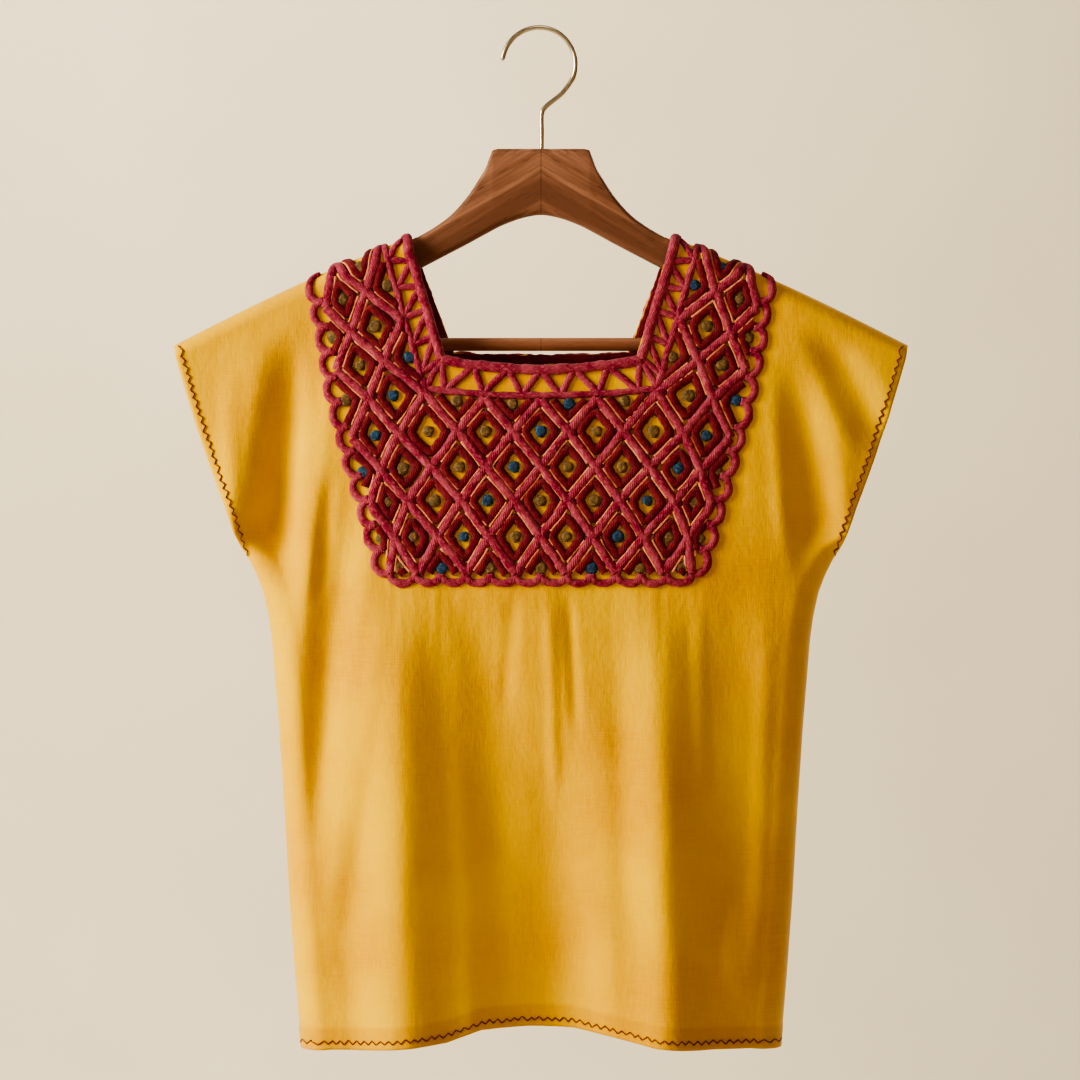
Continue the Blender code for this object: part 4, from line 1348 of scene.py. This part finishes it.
def walnut(name, slant, pale):
    """Oiled walnut, its grain running down each arm from the joint in the middle."""
    paint = Paint(name, 0.55)
    # The pale factor scales both wood colours; the bar's value above 1 is painted light.
    light = darker(settings().wood_light, pale)
    dark = darker(settings().wood_dark, pale)
    split = paint.add("ShaderNodeSeparateXYZ", Vector=paint.on_object())
    outward = paint.maths("ABSOLUTE", split.outputs["X"])
    joined = paint.add("ShaderNodeCombineXYZ", X=outward, Y=split.outputs["Y"], Z=split.outputs["Z"])
    turned = paint.add("ShaderNodeMapping", Vector=joined.outputs["Vector"],
                       Rotation=(0.0, math.radians(-slant), 0.0))
    place = turned.outputs["Vector"]
    growth = paint.speckle(place, 60.0, 4.0, stretch=(0.06, 1.0, 1.6))
    streaks = paint.speckle(place, 420.0, 5.0, stretch=(0.035, 0.8, 1.0))
    pores = paint.speckle(place, 1500.0, 2.0, stretch=(0.05, 1.0, 1.0))
    rings = paint.mixed(paint.ramp(growth, 0.36, 0.66), dark, light)
    grained = paint.mixed(paint.ramp(streaks, 0.30, 0.62), dark, rings)
    pored = paint.mixed(paint.ramp(pores, 0.62, 0.74), grained, darker(dark, 0.45))
    joint = paint.ramp(outward, 0.00015, 0.00055, 0.55, 0.0)
    paint.put(paint.shader, Base_Color=paint.mixed(joint, pored, darker(dark, 0.35)),
              Specular_IOR_Level=0.28, Coat_Weight=0.04, Coat_Roughness=0.35)
    paint.relief(paint.maths("ADD", streaks, paint.scaled(pores, -0.6)), 0.12, 0.6)
    return paint.finish


def brushed_steel():
    """Warm brushed steel wire with faint scratches."""
    paint = Paint("brushed_steel", 0.30)
    scratches = paint.speckle(paint.on_object(), 900.0, 3.0, stretch=(1.0, 1.0, 0.2))
    paint.put(paint.shader, Base_Color=paint.mixed(scratches, linear(176, 168, 154), linear(206, 199, 186)),
              Metallic=1.0, Roughness=paint.scaled(scratches, 0.22, 0.20))
    paint.relief(scratches, 0.05, 0.4)
    return paint.finish


class BLOUSE_OT_stage(bpy.types.Operator):
    """Set up the floor, the curved backdrop, the soft lights and the camera"""

    bl_idname = "blouse.stage"
    bl_label = "Stage"

    def execute(self, context):
        self.backdrop()
        self.lights()
        self.camera(context.scene)
        return {"FINISHED"}

    def backdrop(self):
        """Pale floor that curves up into a wall behind the blouse."""
        nothing_selected()
        bpy.ops.mesh.primitive_plane_add(size=2.0)
        sweep = bpy.context.object
        sweep.name = "studio_sweep"
        bm = bmesh.new()
        profile = [(-SWEEP_REACH, FLOOR_Z)]
        for k in range(13):
            turn = math.pi / 2 * k / 12
            profile.append((WALL_Y - SWEEP_RADIUS + SWEEP_RADIUS * math.sin(turn),
                            FLOOR_Z + SWEEP_RADIUS - SWEEP_RADIUS * math.cos(turn)))
        profile.append((WALL_Y, FLOOR_Z + 5.0))
        left = [bm.verts.new((-SWEEP_REACH, y, z)) for y, z in profile]
        right = [bm.verts.new((SWEEP_REACH, y, z)) for y, z in profile]
        for k in range(len(profile) - 1):
            bm.faces.new((left[k], right[k], right[k + 1], left[k + 1]))
        bm.to_mesh(sweep.data)
        bm.free()
        select_only(sweep)
        bpy.ops.object.shade_smooth()
        paint = Paint("cream_paper", 0.95)
        grey = paint.ramp(paint.speckle(paint.on_object(), 2.2, 2.0), 0.2, 0.8)
        paint.put(paint.shader, Base_Color=paint.mixed(grey, linear(226, 216, 199), linear(232, 223, 207)))
        sweep.data.materials.append(paint.finish)

    def lights(self):
        """Large soft light from the left, weaker ones from front, above and behind, and one for the wall."""
        for name, place, aim, size, share, colour in LIGHTS:
            lamp = bpy.data.lights.new(name, "AREA")
            lamp.shape = "RECTANGLE"
            lamp.size, lamp.size_y = size
            lamp.energy = settings().key_power * share
            lamp.color = colour
            holder = bpy.data.objects.new(name, lamp)
            bpy.context.scene.collection.objects.link(holder)
            holder.location = place
            holder.visible_camera = False
            holder.rotation_euler = (Vector(aim) - Vector(place)).to_track_quat("-Z", "Y").to_euler()
        world = bpy.data.worlds.new("studio_air")
        world.use_nodes = True
        air = world.node_tree.nodes["Background"]
        air.inputs["Color"].default_value = (1.0, 0.74, 0.48, 1.0)
        air.inputs["Strength"].default_value = AIR_STRENGTH
        bpy.context.scene.world = world

    def camera(self, scene):
        """Camera level with the middle of the blouse, straight in front."""
        lens = bpy.data.cameras.new("camera")
        lens.sensor_width = SENSOR
        lens.lens = SENSOR * CAMERA_DISTANCE / (PICTURE_SIDE * METRES_PER_PIXEL)
        eye = bpy.data.objects.new("camera", lens)
        scene.collection.objects.link(eye)
        eye.location = ((PICTURE_CENTRE[0] - ORIGIN_PIXEL[0]) * METRES_PER_PIXEL, -CAMERA_DISTANCE,
                        (ORIGIN_PIXEL[1] - PICTURE_CENTRE[1]) * METRES_PER_PIXEL)
        eye.rotation_euler = (math.pi / 2, 0.0, 0.0)
        scene.camera = eye
        scene.view_settings.view_transform = "AgX"
        scene.view_settings.look = "AgX - High Contrast"


OPERATORS = (BLOUSE_OT_cloth, BLOUSE_OT_yoke_cords, BLOUSE_OT_neck_band, BLOUSE_OT_knots,
             BLOUSE_OT_stitches, BLOUSE_OT_hanger, BLOUSE_OT_stage)


class BLOUSE_PT_sidebar(bpy.types.Panel):
    """List the blouse's pieces and settings"""

    bl_label = "Blouse on a hanger"
    bl_idname = "BLOUSE_PT_sidebar"
    bl_space_type = "VIEW_3D"
    bl_region_type = "UI"
    bl_category = "Blouse"

    def draw(self, context):
        for operator in OPERATORS:
            self.layout.operator(operator.bl_idname)
        for name in BlouseSettings.__annotations__:
            self.layout.prop(context.scene.blouse, name)


CLASSES = (BlouseSettings, *OPERATORS, BLOUSE_PT_sidebar)


def register():
    for entry in CLASSES:
        bpy.utils.register_class(entry)
    bpy.types.Scene.blouse = PointerProperty(type=BlouseSettings)


def unregister():
    del bpy.types.Scene.blouse
    for entry in reversed(CLASSES):
        bpy.utils.unregister_class(entry)


def main():
    register()
    for operator in OPERATORS:
        group, name = operator.bl_idname.split(".")
        getattr(getattr(bpy.ops, group), name)()


if __name__ == "__main__":
    main()
